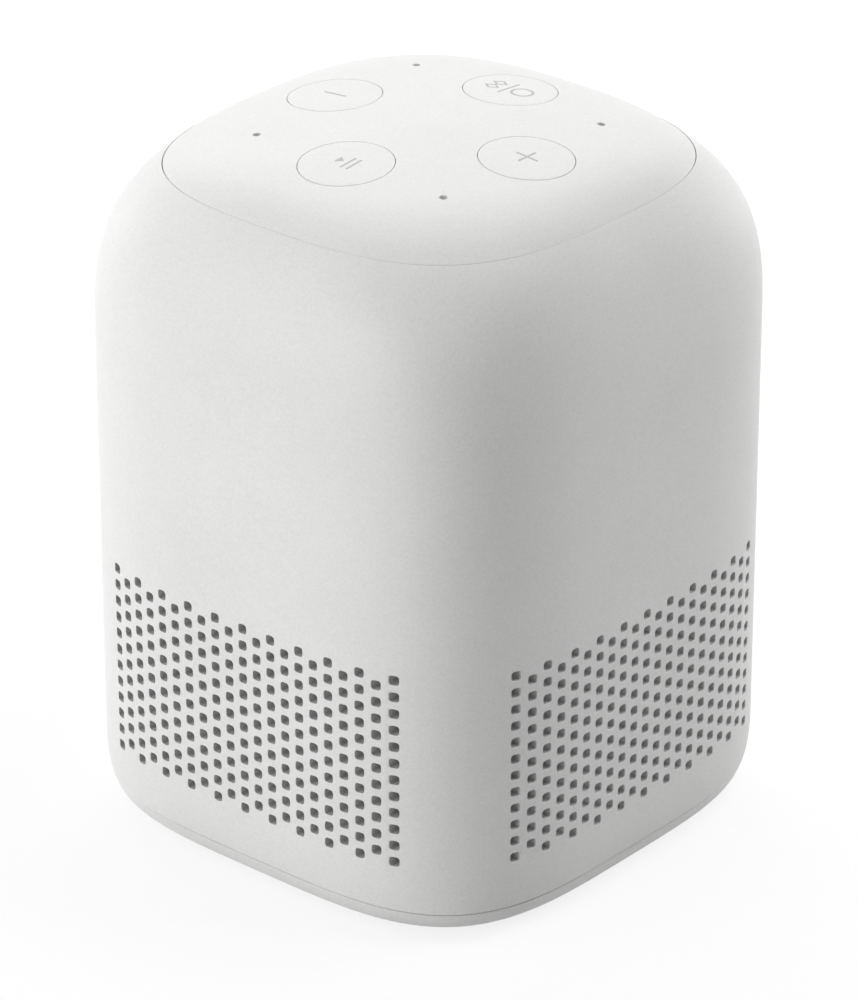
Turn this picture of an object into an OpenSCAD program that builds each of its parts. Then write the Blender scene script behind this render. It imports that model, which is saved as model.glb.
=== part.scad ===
// Table-top smart speaker: a soft-cornered upright housing with perforated walls, a crowned top
// cap with four push buttons and four microphone holes, a sealed speaker box with one driver and
// two passive radiators, and the boards, sockets and base that complete it.
// Millimetres. +Z is up, the front faces -Y, and the origin is under the middle of the foot.

/* [Body] */
// Width and depth over the side walls
body_w = 85; // [78:0.5:100]
// Height from the table to the middle of the crown
body_h = 111.4; // [104:0.2:135]
// Squareness of the plan, as a superellipse exponent (2 is a circle)
side_n = 3.78; // [3:0.02:5]
// Radius of the domed top
crown_r = 222; // [150:1:400]
// How far the shoulder reaches in from the side wall
shoulder_in = 20.9; // [17:0.1:24]
// Height of the shoulder curve
shoulder_h = 27.8; // [20:0.1:34]
// Fullness of the shoulder curve
shoulder_n = 3; // [2.2:0.05:4]
// How fast the plan turns round towards the middle of the top
plan_fall = 3.35; // [2:0.05:6]
// Height of the rolled-in lower edge
skirt_h = 11.6; // [8:0.1:11.8]
// How far the lower edge rolls in
skirt_in = 5; // [3:0.1:5.2]
// Fullness of the lower edge curve
skirt_n = 2.55; // [2:0.05:3.5]
// Thickness of the housing wall
wall = 2.2; // [1.8:0.1:2.6]

/* [Grille] */
// Distance between neighbouring columns, and between neighbouring holes of a column
hole_pitch = 2.75; // [2.4:0.05:2.9]
// Width of one square hole
hole_w = 1.54; // [1.2:0.02:2]
// Columns to each side of the middle one
side_cols = 10; // [6:1:11]
// Holes in an even column; the odd ones between have one less
col_holes = 12; // [6:1:12]
// Height of the middle of the grille, which is the axis of the driver and radiators
grille_z = 28.7; // [28.4:0.1:32]
// Thickness of the acoustic cloth
cloth_t = 0.4; // [0.2:0.05:0.6]

/* [Top cap] */
// Distance of the cap's parting line in from the side wall
cap_in = 7.15; // [6:0.05:8.5]
// Thickness of the cap
cap_wall = 2; // [1.6:0.1:2.4]
// Depth of the cap's rim in its seat
cap_rim = 2.4; // [2:0.1:3]
// Width of a parting line
seam = 0.12; // [0.08:0.02:0.3]
// Thickness of the ledge that carries the cap
ledge_t = 2; // [1.5:0.1:2.6]

/* [Buttons] */
// Distance of the button centres in from the side walls
button_in = 23.9; // [22.5:0.1:25]
// Diameter of a button's hole
button_hole = 14.5; // [12:0.1:15]
// Gap round a button
button_gap = 0.15; // [0.12:0.01:0.3]
// Travel of a button
button_travel = 0.35; // [0.2:0.05:0.4]
// Distance of the microphone holes in from the side walls
mic_in = 24.5; // [23.5:0.1:26]
// Diameter of a microphone hole
mic_hole = 1.2; // [0.8:0.1:1.6]

/* [Base] */
// Height that the foot ring stands proud of the base
foot_h = 0.8; // [0.5:0.1:1.2]
// Distance of the foot ring in from the side wall
foot_in = 10.2; // [10:0.1:14]
// Width of the foot ring's band
foot_band = 4; // [3:0.1:6]
// Height of the base's edge below the parting line
base_rim = 3.85; // [3.4:0.05:4.2]
// Thickness of the base's floor
base_floor = 2.4; // [2:0.1:2.6]
// Distance of the housing screws in from the side walls
screw_in = 13.3; // [13.1:0.1:13.7]

/* [Speaker box] */
// Distance of the box in from the side walls and the front
box_in = 9.5; // [9:0.1:10]
// Wall of the box
box_wall = 2; // [1.6:0.1:2.4]
// Space between the box's roof and the key board's upper face, for the main board
board_space = 19.6; // [17:0.1:30]
// Distance of the box's back edge in from the back wall
back_in = 22.5; // [22:0.1:23]
// Cut across the box's two front corners
box_chamfer = 12.1; // [11.9:0.1:13]
// Diameter of the driver's frame
driver_d = 42; // [41:0.2:43]
// Travel of the cone each way
cone_travel = 1.8; // [1:0.1:2]
// Diameter of a passive radiator's frame
radiator_d = 37; // [36.5:0.1:37.6]
// Travel of a radiator each way
radiator_travel = 1.5; // [0.8:0.1:1.8]

/* [Boards] */
// Thickness of every circuit board
board_t = 1.6; // [1:0.1:1.6]
// Distance of the key board in from the side walls
key_board_in = 12.5; // [12:0.1:13.5]
// Depth of the key board's upper face below the crown
key_board_low = 9.8; // [9.4:0.1:10.4]
// Gap between the box's roof and the main board
main_board_gap = 5; // [4:0.1:6]
// Side of a tactile switch
switch_w = 6.2; // [5:0.1:6.6]
// Height of a tactile switch's body
switch_h = 3.4; // [3:0.1:3.5]

/* [Sockets] */
// Distance of each socket from the middle of the back
socket_x = 9; // [8:0.1:12]
// Height of the sockets' axes above their board
socket_h = 5; // [4.8:0.1:6]
// Bore for the plug of the mains adapter
power_bore = 5.7; // [5.6:0.05:6]
// Diameter of the power socket's centre pin
power_pin = 2; // [1.3:0.1:2.5]
// Bore for the audio plug
audio_bore = 3.6; // [3.55:0.05:3.7]
// Depth of the audio plug's bore
audio_depth = 14.2; // [13:0.1:14.6]

/* [Hidden] */
$fn = 48;
fit = 0.05; // radial play of a screw in its hole
loose = 0.15; // radial play of a screw in the part that it clamps
air = 0.2; // gap between neighbouring parts that don't move
overlap = 0.5; // depth that a boss or rib is sunk in the wall that carries it

// Shape of the outside -------------------------------------------------------------------------
half_w = body_w / 2;
cap_half = half_w - cap_in;
key_board_z = body_h - key_board_low;
base_screw = half_w - screw_in;
base_z = foot_h;
seam_z = base_z + base_rim;
floor_z = base_z + base_floor;
skirt_z = base_z + skirt_h;

function spow(v, e) = sign(v) * pow(abs(v), e);

// Fall of a rounded edge of reach r and fullness n, at t from 0 (start) to 1 (end)
function edge_fall(t, r, n) = r * (1 - pow(max(0, 1 - pow(max(0, t), n)), 1 / n));

// Height of the top surface over the level curve of half-width w
function top_z(w) =
  body_h - w * w / (2 * crown_r) - edge_fall(1 - (half_w - w) / shoulder_in, shoulder_h, shoulder_n);

// Squareness of that level curve
function plan_n(w) = 2 + (side_n - 2) * pow(w / half_w, plan_fall);

// Half-width of the rolled-in lower edge at height z
function skirt_w(z) = half_w - edge_fall((skirt_z - z) / skirt_h, skirt_in, skirt_n);

// Steepness of the top surface, and the point one wall thickness inside it
function top_slope(w) = (top_z(w - 0.05) - top_z(w)) / 0.05;
function inside(w) =
  let (m = top_slope(w), k = sqrt(1 + m * m))
  [w - wall * m / k, plan_n(w), top_z(w) - wall / k];

// Plan curve: facet edges run midway between the columns of holes, and the corners get a few more
corner_steps = 7;
function turn_at(x) = asin(spow(x / half_w, side_n / 2));
face_turns = [for (i = [-side_cols - 1 : side_cols]) turn_at((i + 0.5) * hole_pitch)];
last_turn = turn_at((side_cols + 0.5) * hole_pitch);
corner_turns = [for (k = [1 : corner_steps - 1]) last_turn + k * (90 - 2 * last_turn) / corner_steps];
turns = [for (q = [0 : 3]) each [for (t = [each face_turns, each corner_turns]) t + 90 * q]];
sides = len(turns);

function plan(w, n) = [for (t = turns) [w * spow(sin(t), 2 / n), -w * spow(cos(t), 2 / n)]];
function ring(level) = [for (p = plan(level[0], level[1])) [p[0], p[1], level[2]]];

// Triangles between ring a and ring b
function band(a, b) =
  [for (i = [0 : sides - 1]) let (j = (i + 1) % sides) each
    [[a * sides + i, b * sides + j, a * sides + j], [a * sides + i, b * sides + i, b * sides + j]]];

// A closed skin through the levels, from its first ring round to the first again
module hollow_loft(levels) {
  last = len(levels) - 1;
  polyhedron(
    points = [for (l = levels) each ring(l)],
    faces = [for (k = [0 : last]) each band(k, (k + 1) % (last + 1))]
  );
}

// A closed skin through the levels, with a flat lid on its first and its last ring
module solid_loft(levels) {
  last = len(levels) - 1;
  lid_a = [for (i = [0 : sides - 1]) i];
  lid_b = [for (i = [sides - 1 : -1 : 0]) last * sides + i];
  polyhedron(
    points = [for (l = levels) each ring(l)],
    faces = [lid_a, lid_b, for (k = [0 : last - 1]) each band(k, k + 1)]
  );
}

module plan_plate(w, n, z, h) translate([0, 0, z]) linear_extrude(h) polygon(plan(w, n));

module plan_ring(w, w_in, n, z, h) difference() {
  plan_plate(w, n, z, h);
  plan_plate(w_in, n, z - 1, h + 2);
}

module at_corners(x, y) for (i = [-1, 1]) for (j = [-1, 1]) translate([i * x, j * y, 0]) children();

module rod(r, z, h) translate([0, 0, z]) cylinder(r = r, h = h);

function span(middle, half) = [middle - half, middle + half];
module block(x, y, z) translate([x[0], y[0], z[0]]) cube([x[1] - x[0], y[1] - y[0], z[1] - z[0]]);

// A round-headed screw, with its seat at the origin and its shank along +Z
module screw(r, length, head_r, head_h) {
  rod(r, 0, length);
  rod(head_r, -head_h, head_h);
}

// Housing --------------------------------------------------------------------------------------
seat_z = top_z(cap_half) - cap_rim;
ledge_w = cap_half - 2.75;
side_top = top_z(half_w);
shoulder_rings = 7;
inner_rings = 4;
inner_start = cap_half + 2.2;
skirt_rings = 3;
boss_r = 2.9;
boss_z = floor_z + 2.2;
boss_top = boss_z + 11.6;
rib_z = seam_z + 3.2;
rib_t = 2;
screw_r = 1.1;
power_nose = 3.9;
audio_nose = 3;
jack_board_z = floor_z + 4.8;
socket_z = jack_board_z + board_t + socket_h;

// Put a child on a socket's axis, with +Z out of the back
module at_power() translate([-socket_x, 0, socket_z]) rotate([-90, 0, 0]) children();
module at_audio() translate([socket_x, 0, socket_z]) rotate([-90, 0, 0]) children();

housing_skin = [
  for (k = [skirt_rings : -1 : 0])
    let (z = skirt_z - (skirt_z - seam_z - seam) * k / skirt_rings) [skirt_w(z), side_n, z],
  [half_w, side_n, side_top],
  for (k = [1 : shoulder_rings])
    let (w = half_w - (half_w - cap_half) * pow(k / shoulder_rings, 2)) [w, plan_n(w), top_z(w)],
  [cap_half, plan_n(cap_half), seat_z],
  [ledge_w, plan_n(cap_half), seat_z],
  [ledge_w, plan_n(cap_half), seat_z - ledge_t],
  for (k = [inner_rings : -1 : 1]) inside(half_w - (half_w - inner_start) * pow(k / inner_rings, 2)),
  [half_w - wall, side_n, side_top],
  for (k = [0 : 2])
    let (z = skirt_z - (skirt_z - seam_z - seam) * k / 2) [skirt_w(z) - wall, side_n, z]
];

// The holes of one face, drawn straight in from the front
module face_holes() for (i = [-side_cols : side_cols]) {
  n = col_holes - abs(i) % 2;
  low = grille_z - hole_w / 2 - (n - 1) / 2 * hole_pitch;
  for (j = [0 : n - 1])
    translate([i * hole_pitch - hole_w / 2, -half_w - 1, low + j * hole_pitch]) cube([hole_w, 10, hole_w]);
}

module housing() color("whitesmoke") difference() {
  union() {
    hollow_loft(housing_skin);
    at_corners(base_screw, base_screw) rod(boss_r, boss_z, boss_top - boss_z);
    for (a = [45 : 90 : 315]) rotate([0, 0, a])
      block(
        [base_screw * sqrt(2), (half_w - wall) * pow(2, 0.5 - 1 / side_n) + overlap],
        [-rib_t / 2, rib_t / 2],
        [rib_z, boss_top]
      );
  }
  face_holes();
  rotate([0, 0, 90]) face_holes();
  rotate([0, 0, -90]) face_holes();
  at_corners(base_screw, base_screw) rod(screw_r + fit, boss_z - 1, 10);
  at_power() rod(power_nose + air, half_w - 8, 12);
  at_audio() rod(audio_nose + air, half_w - 8, 12);
}

// Acoustic cloth -------------------------------------------------------------------------------
cloth_w = half_w - wall - 0.1;
cloth_margin = 2.2;
cloth_low = max(grille_z - (col_holes / 2) * hole_pitch - cloth_margin, skirt_z - 2);
cloth_high = grille_z + (col_holes / 2) * hole_pitch + cloth_margin;

// A sheet bonded behind the holes of the front face
module cloth_sheet() translate([0, 0, cloth_low]) linear_extrude(cloth_high - cloth_low) polygon([
  for (t = face_turns) [cloth_w * spow(sin(t), 2 / side_n), -cloth_w * spow(cos(t), 2 / side_n)],
  for (k = [len(face_turns) - 1 : -1 : 0])
    let (t = face_turns[k], w = cloth_w - cloth_t)
    [w * spow(sin(t), 2 / side_n), -w * spow(cos(t), 2 / side_n)]
]);

module front_cloth() color("dimgray") cloth_sheet();
module right_cloth() color("dimgray") rotate([0, 0, 90]) cloth_sheet();
module left_cloth() color("dimgray") rotate([0, 0, -90]) cloth_sheet();

// Top cap --------------------------------------------------------------------------------------
button_r = half_w - button_in;
button_tilt = asin(button_r / crown_r);
button_z = top_z(button_r);
mic_xy = half_w - mic_in;
mic_boss_r = 3;
mic_boss_z = top_z(mic_xy * sqrt(2)) - cap_wall - 1.1;
key_screw_xy = half_w - key_board_in - 7.7;
key_boss_r = 2.3;
key_screw_r = 0.95;
cap_edge = cap_half - seam;
cap_rings = 7;
cap_eye = 3;
rim_t = 1.6;
hook_w = 6;
hook_t = 1.2;
hook_grip = 0.8;

cap_skin = [
  for (k = [0 : 4])
    let (w = cap_eye + (cap_edge - rim_t - cap_eye) * k / 4) [w, plan_n(w), top_z(w) - cap_wall],
  [cap_edge - rim_t, plan_n(cap_half), seat_z + air / 2],
  [cap_edge, plan_n(cap_half), seat_z + air / 2],
  for (k = [0 : cap_rings])
    let (w = cap_eye + (cap_edge - cap_eye) * (1 - k / cap_rings)) [w, plan_n(w), top_z(w)]
];

// Puts a child on the crown over the button at angle a, with +Z square to the surface
module at_button(a)
  rotate([0, 0, a]) translate([button_r, 0, button_z]) rotate([0, button_tilt, 0]) children();

// A snap hook that reaches down past the ledge and catches under it
module cap_hook() {
  low = seat_z - ledge_t - air;
  side = [-hook_w / 2, hook_w / 2];
  back = ledge_w - air - hook_t;
  block([back, back + hook_t], side, [low - hook_t, seat_z + hook_t]);
  block([back, ledge_w + hook_grip], side, [low - hook_t, low]);
  block([back, cap_edge - 0.4], side, [seat_z + air, seat_z + hook_t + air]);
}

module top_cap() color("whitesmoke") difference() {
  union() {
    solid_loft(cap_skin);
    for (a = [0 : 90 : 270]) rotate([0, 0, a]) cap_hook();
    at_corners(mic_xy, mic_xy) rod(mic_boss_r, mic_boss_z, top_z(mic_xy * sqrt(2)) - mic_boss_z - 1);
    at_corners(key_screw_xy, key_screw_xy)
      rod(key_boss_r, key_board_z, top_z(key_screw_xy * sqrt(2)) - key_board_z - 1.2);
  }
  for (a = [0 : 90 : 270]) at_button(a) rod(button_hole / 2, -6, 9);
  at_corners(mic_xy, mic_xy) rod(mic_hole / 2, mic_boss_z - 1, 12);
  at_corners(key_screw_xy, key_screw_xy) rod(key_screw_r + fit, key_board_z - 1, 5.2);
}

// Buttons --------------------------------------------------------------------------------------
button_cap_r = button_hole / 2 - button_gap;
skirt_t = 1.4; // wall of the button's cup
flange_z = -cap_wall - 0.4;
flange_t = 0.8;
flange_out = 1.05; // reach of the flange under the cap
stem_r = 2;
stem_end = -5.1;
plunger_r = 1.75;
plunger_end = -7.6;
key_mid_r = button_r + (stem_end + plunger_end) / 2 * sin(button_tilt);
plunger_low = button_z + plunger_end * cos(button_tilt) - plunger_r * sin(button_tilt);
well_z = plunger_low - button_travel - 0.15; // floor of a switch's well

// Height of the button's domed face at distance r from its middle
function dome_z(r) = -r * r / (2 * crown_r);

module button_cap() rotate_extrude() polygon([
  for (k = [0 : 4]) let (r = k * (button_cap_r - 0.3) / 4) [r, dome_z(r)],
  [button_cap_r, dome_z(button_cap_r) - 0.25],
  [button_cap_r, flange_z],
  [button_cap_r + flange_out, flange_z],
  [button_cap_r + flange_out, flange_z - flange_t],
  [button_cap_r - skirt_t, flange_z - flange_t],
  [button_cap_r - skirt_t, -1.5],
  [stem_r, -1.5],
  [stem_r, stem_end],
  [0, stem_end]
]);

module button_plunger() rod(plunger_r, plunger_end, stem_end - plunger_end);

module button_play_pause() color("whitesmoke") at_button(-90) button_cap();
module button_volume_up() color("whitesmoke") at_button(0) button_cap();
module button_mode() color("whitesmoke") at_button(90) button_cap();
module button_volume_down() color("whitesmoke") at_button(180) button_cap();
module plunger_play_pause() color("dimgray") at_button(-90) button_plunger();
module plunger_volume_up() color("dimgray") at_button(0) button_plunger();
module plunger_mode() color("dimgray") at_button(90) button_plunger();
module plunger_volume_down() color("dimgray") at_button(180) button_plunger();

module switch_bodies() color("black") for (a = [0 : 90 : 270]) rotate([0, 0, a])
  translate([key_mid_r, 0, 0]) difference() {
    translate([-switch_w / 2, -switch_w / 2, key_board_z]) cube([switch_w, switch_w, switch_h]);
    rod(plunger_r + air, well_z, switch_h);
  }

// Key board and microphones --------------------------------------------------------------------
mic_h = 1.1;
mic_port = 0.35;

module key_board() color("darkgreen") difference() {
  plan_plate(half_w - key_board_in, side_n, key_board_z - board_t, board_t);
  at_corners(key_screw_xy, key_screw_xy)
    rod(key_screw_r + loose, key_board_z - board_t - 1, board_t + 2);
}

module key_board_screws() color("silver") at_corners(key_screw_xy, key_screw_xy)
  translate([0, 0, key_board_z - board_t]) screw(key_screw_r, board_t + 4, 1.9, 1.3);

module microphones() color("gold") at_corners(mic_xy, mic_xy) translate([0, 0, key_board_z])
  difference() {
    translate([-1.9, -1.5, 0]) cube([3.8, 3, mic_h]);
    rod(mic_port, 0.4, mic_h);
  }

module microphone_gaskets() color("black") at_corners(mic_xy, mic_xy) difference() {
  rod(mic_boss_r - 0.4, key_board_z + mic_h, mic_boss_z - key_board_z - mic_h);
  rod(mic_hole / 2 + 0.1, key_board_z, 10);
}

// Speaker box ----------------------------------------------------------------------------------
box_side = half_w - box_in;
box_front = -box_side;
box_back = half_w - back_in;
box_top = key_board_z - board_space;
box_z = floor_z + 2;
gasket_t = 0.8;
lid_t = 2;
radiator_y = (box_front + box_chamfer + box_back) / 2;
driver_open = driver_d / 2 - 1.4;
radiator_open = radiator_d / 2 - 2.7;
driver_ear = driver_d / 2 + 0.9;
driver_ear_r = 2.6;
box_screw_x = box_side + 2.2;
box_screw_y = 13;
box_ear_r = 2.6;
box_ear_t = 2.4;
lid_boss = 7;
boss_half = lid_boss / 2 + 0.01; // sunk a little in the walls
lid_screw_x = box_side - box_wall - lid_boss / 2;
lid_screw_z = [box_z + box_wall + lid_boss / 2, box_top - box_wall - lid_boss / 2];
board_post_xy = [box_side - 9, box_back - 5];
board_post_r = 2.6;
lead_y = box_front + 8;
lead_x = 1.2; // distance of each lead from the middle
lead_r = 0.6;
grommet_r = 2.6;
main_board_z = box_top + main_board_gap;
main_board_top = main_board_z + board_t;

module at_driver() translate([0, box_front, grille_z]) rotate([90, 0, 0]) children();
module at_radiator(s)
  translate([s * box_side, radiator_y, grille_z]) rotate([0, s * 90, 0]) children();
module at_driver_ears()
  for (a = [45 : 90 : 315]) rotate([0, 0, a]) translate([driver_ear, 0, 0]) children();
module at_box_ears() at_corners(box_screw_x, box_screw_y) children();
module at_board_posts() at_corners(board_post_xy[0], board_post_xy[1]) children();
module at_lid_screws()
  for (i = [-1, 1]) for (z = lid_screw_z) translate([i * lid_screw_x, 0, z]) children();

// Plan of the box, drawn in by inset
module box_plan(inset, back) {
  s = box_side - inset;
  c = box_chamfer - inset * (2 - sqrt(2));
  polygon([[-s, back], [-s, -s + c], [-s + c, -s], [s - c, -s], [s, -s + c], [s, back]]);
}

module speaker_box() color("darkslategray") difference() {
  union() {
    difference() {
      translate([0, 0, box_z]) linear_extrude(box_top - box_z) box_plan(0, box_back);
      translate([0, 0, box_z + box_wall])
        linear_extrude(box_top - box_z - 2 * box_wall) box_plan(box_wall, box_back + 1);
    }
    at_lid_screws() block([-boss_half, boss_half], [box_back - 9, box_back], [-boss_half, boss_half]);
    at_board_posts() rod(board_post_r, box_top - overlap, main_board_gap + overlap);
    at_box_ears() rod(box_ear_r, box_z, box_ear_t);
    for (j = [-1, 1])
      for (x = [[-box_screw_x, 1 - box_side], [box_side - 1, box_screw_x]])
        block(x, span(j * box_screw_y, box_ear_r), [box_z, box_z + box_ear_t]);
  }
  at_driver() rod(driver_open, -box_wall - 1, box_wall + 2);
  at_driver() at_driver_ears() rod(screw_r + fit, -box_wall - 1, box_wall + 2);
  for (s = [-1, 1]) at_radiator(s) rod(radiator_open, -box_wall - 1, box_wall + 2);
  at_lid_screws() rotate([90, 0, 0]) rod(screw_r + fit, -box_back - 1, 8);
  at_board_posts() rod(key_screw_r + fit, box_top + 0.6, main_board_gap);
  at_box_ears() rod(screw_r + 0.2, box_z - 1, box_ear_t + 2);
  translate([0, lead_y, 0]) rod(grommet_r, box_top - box_wall - 1, box_wall + 2);
}

// Opening of the gasket, drawn in from the box's edge by x at the sides and by z above and below
module gasket_opening(x, z) {
  gap = [box_back - 1, box_back + gasket_t + 1];
  block([x - box_side, box_side - x], gap, [box_z + z, box_top - z]);
}

module speaker_box_gasket() color("black") difference() {
  block([-box_side, box_side], [box_back, box_back + gasket_t], [box_z, box_top]);
  gasket_opening(box_wall, box_wall + lid_boss);
  gasket_opening(box_wall + lid_boss, box_wall);
  at_lid_screws() rotate([90, 0, 0]) rod(screw_r + 0.3, -box_back - gasket_t - 1, gasket_t + 2);
}

module speaker_box_lid() color("darkslategray") difference() {
  block([-box_side, box_side], [box_back + gasket_t, box_back + gasket_t + lid_t], [box_z, box_top]);
  at_lid_screws() rotate([90, 0, 0]) rod(screw_r + 0.2, -box_back - gasket_t - lid_t - 1, lid_t + 2);
}

module lid_screws() color("silver") at_lid_screws() translate([0, box_back + gasket_t + lid_t, 0])
  rotate([90, 0, 0]) screw(screw_r, gasket_t + lid_t + 6, 2, 1.2);

module box_screws() color("silver") at_box_ears() translate([0, 0, box_z + box_ear_t]) rotate([180, 0, 0])
  screw(screw_r, box_ear_t + 3, 2, 1.3);

// Driver: radii, and heights in front of the box's face ------------------------------------------
frame_t = 1.5;
frame_r = driver_d / 2;
pole_r = 7.5;
coil_r = 8.7;
former_r = 8.25;
former_top = -4;
cone_r = frame_r - 4.7;
bowl_r = 16;
plate_z = -10.5;
magnet_z = -13.5;
yoke_z = -20.5;
yoke_t = 3;
magnet_r = 17.6;
yoke_r = magnet_r - 1;
top_plate_r = magnet_r - 3;
vent_r = 2;
spider_z = -7.9;
rubber_t = 0.4;
window_w = 8;
window_h = 5.2;
window_z = -6.6;

// A half-round roll between r_in and r_out, standing on flat landings
function half_roll(r_in, r_out, land_in, land_out) =
  let (c = (r_in + r_out) / 2, big = (r_out - r_in) / 2, small = big - rubber_t)
  [
    [r_in - land_in, 0],
    [r_in - land_in, rubber_t],
    for (a = [180 : -15 : 0]) [c + big * cos(a), rubber_t + big * sin(a)],
    [r_out + land_out, rubber_t],
    [r_out + land_out, 0],
    [c + small, 0],
    for (a = [0 : 15 : 180]) [c + small * cos(a), rubber_t + small * sin(a)],
    [c - small, 0]
  ];

module driver_basket() color("dimgray") at_driver() difference() {
  union() {
    rotate_extrude() polygon([
      [frame_r - 2.8, frame_t],
      [frame_r, frame_t],
      [frame_r, 0],
      [frame_r - 1.6, 0],
      [bowl_r, -8.6],
      [bowl_r, plate_z],
      [9.4, plate_z],
      [9.4, plate_z + 1.2],
      [13.6, plate_z + 1.2],
      [13.6, spider_z],
      [bowl_r - 1.1, spider_z],
      [frame_r - 2.8, 0.3]
    ]);
    at_driver_ears() rod(driver_ear_r, 0, frame_t);
    block([-3, 3], [bowl_r - 0.6, bowl_r + 2.4], [plate_z + 0.5, -5.5]);
  }
  for (a = [0 : 60 : 300]) rotate([0, 0, a])
    block([bowl_r - 4, bowl_r + 8], [-window_w / 2, window_w / 2], [window_z, window_z + window_h]);
  at_driver_ears() rod(screw_r + 0.2, -1, frame_t + 2);
}

module driver_top_plate() color("silver") at_driver() difference() {
  rod(top_plate_r, magnet_z, plate_z - magnet_z);
  rod(coil_r + 0.2, magnet_z - 1, plate_z - magnet_z + 2);
}

module driver_magnet() color("darkslategray") at_driver() difference() {
  rod(magnet_r, yoke_z, magnet_z - yoke_z);
  rod(coil_r + 1.5, yoke_z - 1, magnet_z - yoke_z + 2);
}

module driver_yoke() color("silver") at_driver() difference() {
  union() {
    rod(yoke_r, yoke_z - yoke_t, yoke_t);
    rod(pole_r, yoke_z - overlap, plate_z - yoke_z - 0.3 + overlap);
  }
  rod(vent_r, yoke_z - yoke_t - 1, plate_z - yoke_z + yoke_t + 2);
}

// Former, with a winding that stays in the magnet's gap over the whole travel
module driver_voice_coil() color("peru") at_driver() rotate_extrude() polygon([
  [pole_r + 0.5, former_top],
  [pole_r + 0.5, magnet_z - cone_travel],
  [coil_r, magnet_z - cone_travel],
  [coil_r, plate_z + cone_travel],
  [former_r, plate_z + cone_travel],
  [former_r, former_top]
]);

// Corrugated disc that centres the coil
spider_waves = 3;
spider_in = former_r + 0.05;
spider_out = 13.7;
function spider_y(r) = 0.35 * sin(360 * spider_waves * (r - spider_in) / (spider_out - spider_in));
module driver_spider() color("goldenrod") at_driver() rotate_extrude() polygon([
  for (r = [spider_in : 0.45 : spider_out - 0.3]) [r, spider_z + 0.7 + spider_y(r)],
  [spider_out + 0.2, spider_z + 0.3],
  [bowl_r - 1.4, spider_z + 0.3],
  [bowl_r - 1.4, spider_z],
  [spider_out, spider_z],
  for (r = [spider_out - 0.5 : -0.45 : spider_in]) [r, spider_z + 0.4 + spider_y(r)]
]);

module driver_cone() color("darkslategray") at_driver() rotate_extrude() polygon([
  [former_r + 0.05, -4.4],
  [former_r + 0.05, -5],
  [cone_r, 0.9],
  [cone_r, 1.45],
  [cone_r - 0.8, 1.45]
]);

module driver_dust_cap() color("black") at_driver() rotate_extrude() polygon([
  for (a = [90 : -10 : 20]) [9.4 * cos(a), -4.7 + 3.3 * sin(a)],
  for (a = [20 : 10 : 90]) [9 * cos(a), -4.9 + 3.15 * sin(a)]
]);

module driver_surround() color("black") at_driver() translate([0, 0, frame_t])
  rotate_extrude() polygon(half_roll(cone_r + 0.1, frame_r - 2.2, 0.7, 0.9));

module driver_screws() color("silver") at_driver() at_driver_ears() translate([0, 0, frame_t])
  rotate([180, 0, 0]) screw(screw_r, frame_t + 6, 2, 1.3);

// Passive radiators ------------------------------------------------------------------------------
radiator_frame_r = radiator_d / 2;
radiator_land = radiator_frame_r - 3.3; // outer edge of the roll
radiator_roll = 1.75 * radiator_travel; // width of the roll, enough for its travel
plate_r = radiator_land - radiator_roll - 0.2;

module radiator_frame() rotate_extrude() polygon([
  [radiator_frame_r - 3.5, frame_t],
  [radiator_frame_r, frame_t],
  [radiator_frame_r, 0],
  [radiator_open, 0],
  [radiator_frame_r - 3.5, 0.6]
]);

module radiator_surround() translate([0, 0, frame_t])
  rotate_extrude() polygon(half_roll(radiator_land - radiator_roll, radiator_land, 0.8, 1.8));

// A stiff plate with a steel weight behind it
module radiator_plate() rotate_extrude() polygon([
  [0, 1.2],
  [plate_r - 2, 1.2],
  [plate_r - 1.6, 1.45],
  [plate_r, 1.45],
  [plate_r, -0.2],
  [7.5, -0.2],
  [7.5, -2.6],
  [0, -2.6]
]);

module left_radiator_frame() color("dimgray") at_radiator(-1) radiator_frame();
module left_radiator_surround() color("black") at_radiator(-1) radiator_surround();
module left_radiator_plate() color("darkslategray") at_radiator(-1) radiator_plate();
module right_radiator_frame() color("dimgray") at_radiator(1) radiator_frame();
module right_radiator_surround() color("black") at_radiator(1) radiator_surround();
module right_radiator_plate() color("darkslategray") at_radiator(1) radiator_plate();

// Main board -------------------------------------------------------------------------------------
main_board_x = box_side - 4;
main_board_y = box_back + 7;
lead_plug_h = 3;

module main_board() color("darkgreen") difference() {
  block([-main_board_x, main_board_x], [-main_board_y, main_board_y], [main_board_z, main_board_top]);
  at_board_posts() rod(key_screw_r + loose, main_board_z - 1, board_t + 2);
}

module main_board_screws() color("silver") at_board_posts() translate([0, 0, main_board_top])
  rotate([180, 0, 0]) screw(key_screw_r, board_t + 3.6, 1.9, 1.3);

// A flat part of half-sizes x and y on the main board, with a lid or can drawn in by 1 mm
module board_part(x, y, base, top) translate([0, 0, main_board_top]) {
  block([-x, x], [-y, y], [0, base]);
  block([1 - x, x - 1], [1 - y, y - 1], [base, top]);
}

radio_x = -0.4 * main_board_x;
processor_x = 0.38 * main_board_x;
processor_y = 0.18 * main_board_y;
capacitor_y = -0.6 * main_board_y;
radio_w = 18;
radio_l = 24;
radio_h = 3.4;
processor_w = 14;
processor_h = 3;
capacitor_r = 3.2;
capacitor_h = 7;
module radio_module() color("silver") translate([radio_x, 0, 0])
  board_part(radio_w / 2, radio_l / 2, 1, radio_h);

module processor() color("black") translate([processor_x, processor_y, 0])
  board_part(processor_w / 2, processor_w / 2, 1.2, processor_h);

module board_capacitors() color("navy") for (y = span(capacitor_y, 5))
  translate([processor_x - 3, y, main_board_top]) {
    rod(capacitor_r, 0, capacitor_h);
    rod(capacitor_r + 0.2, 0, 0.8);
  }

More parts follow.
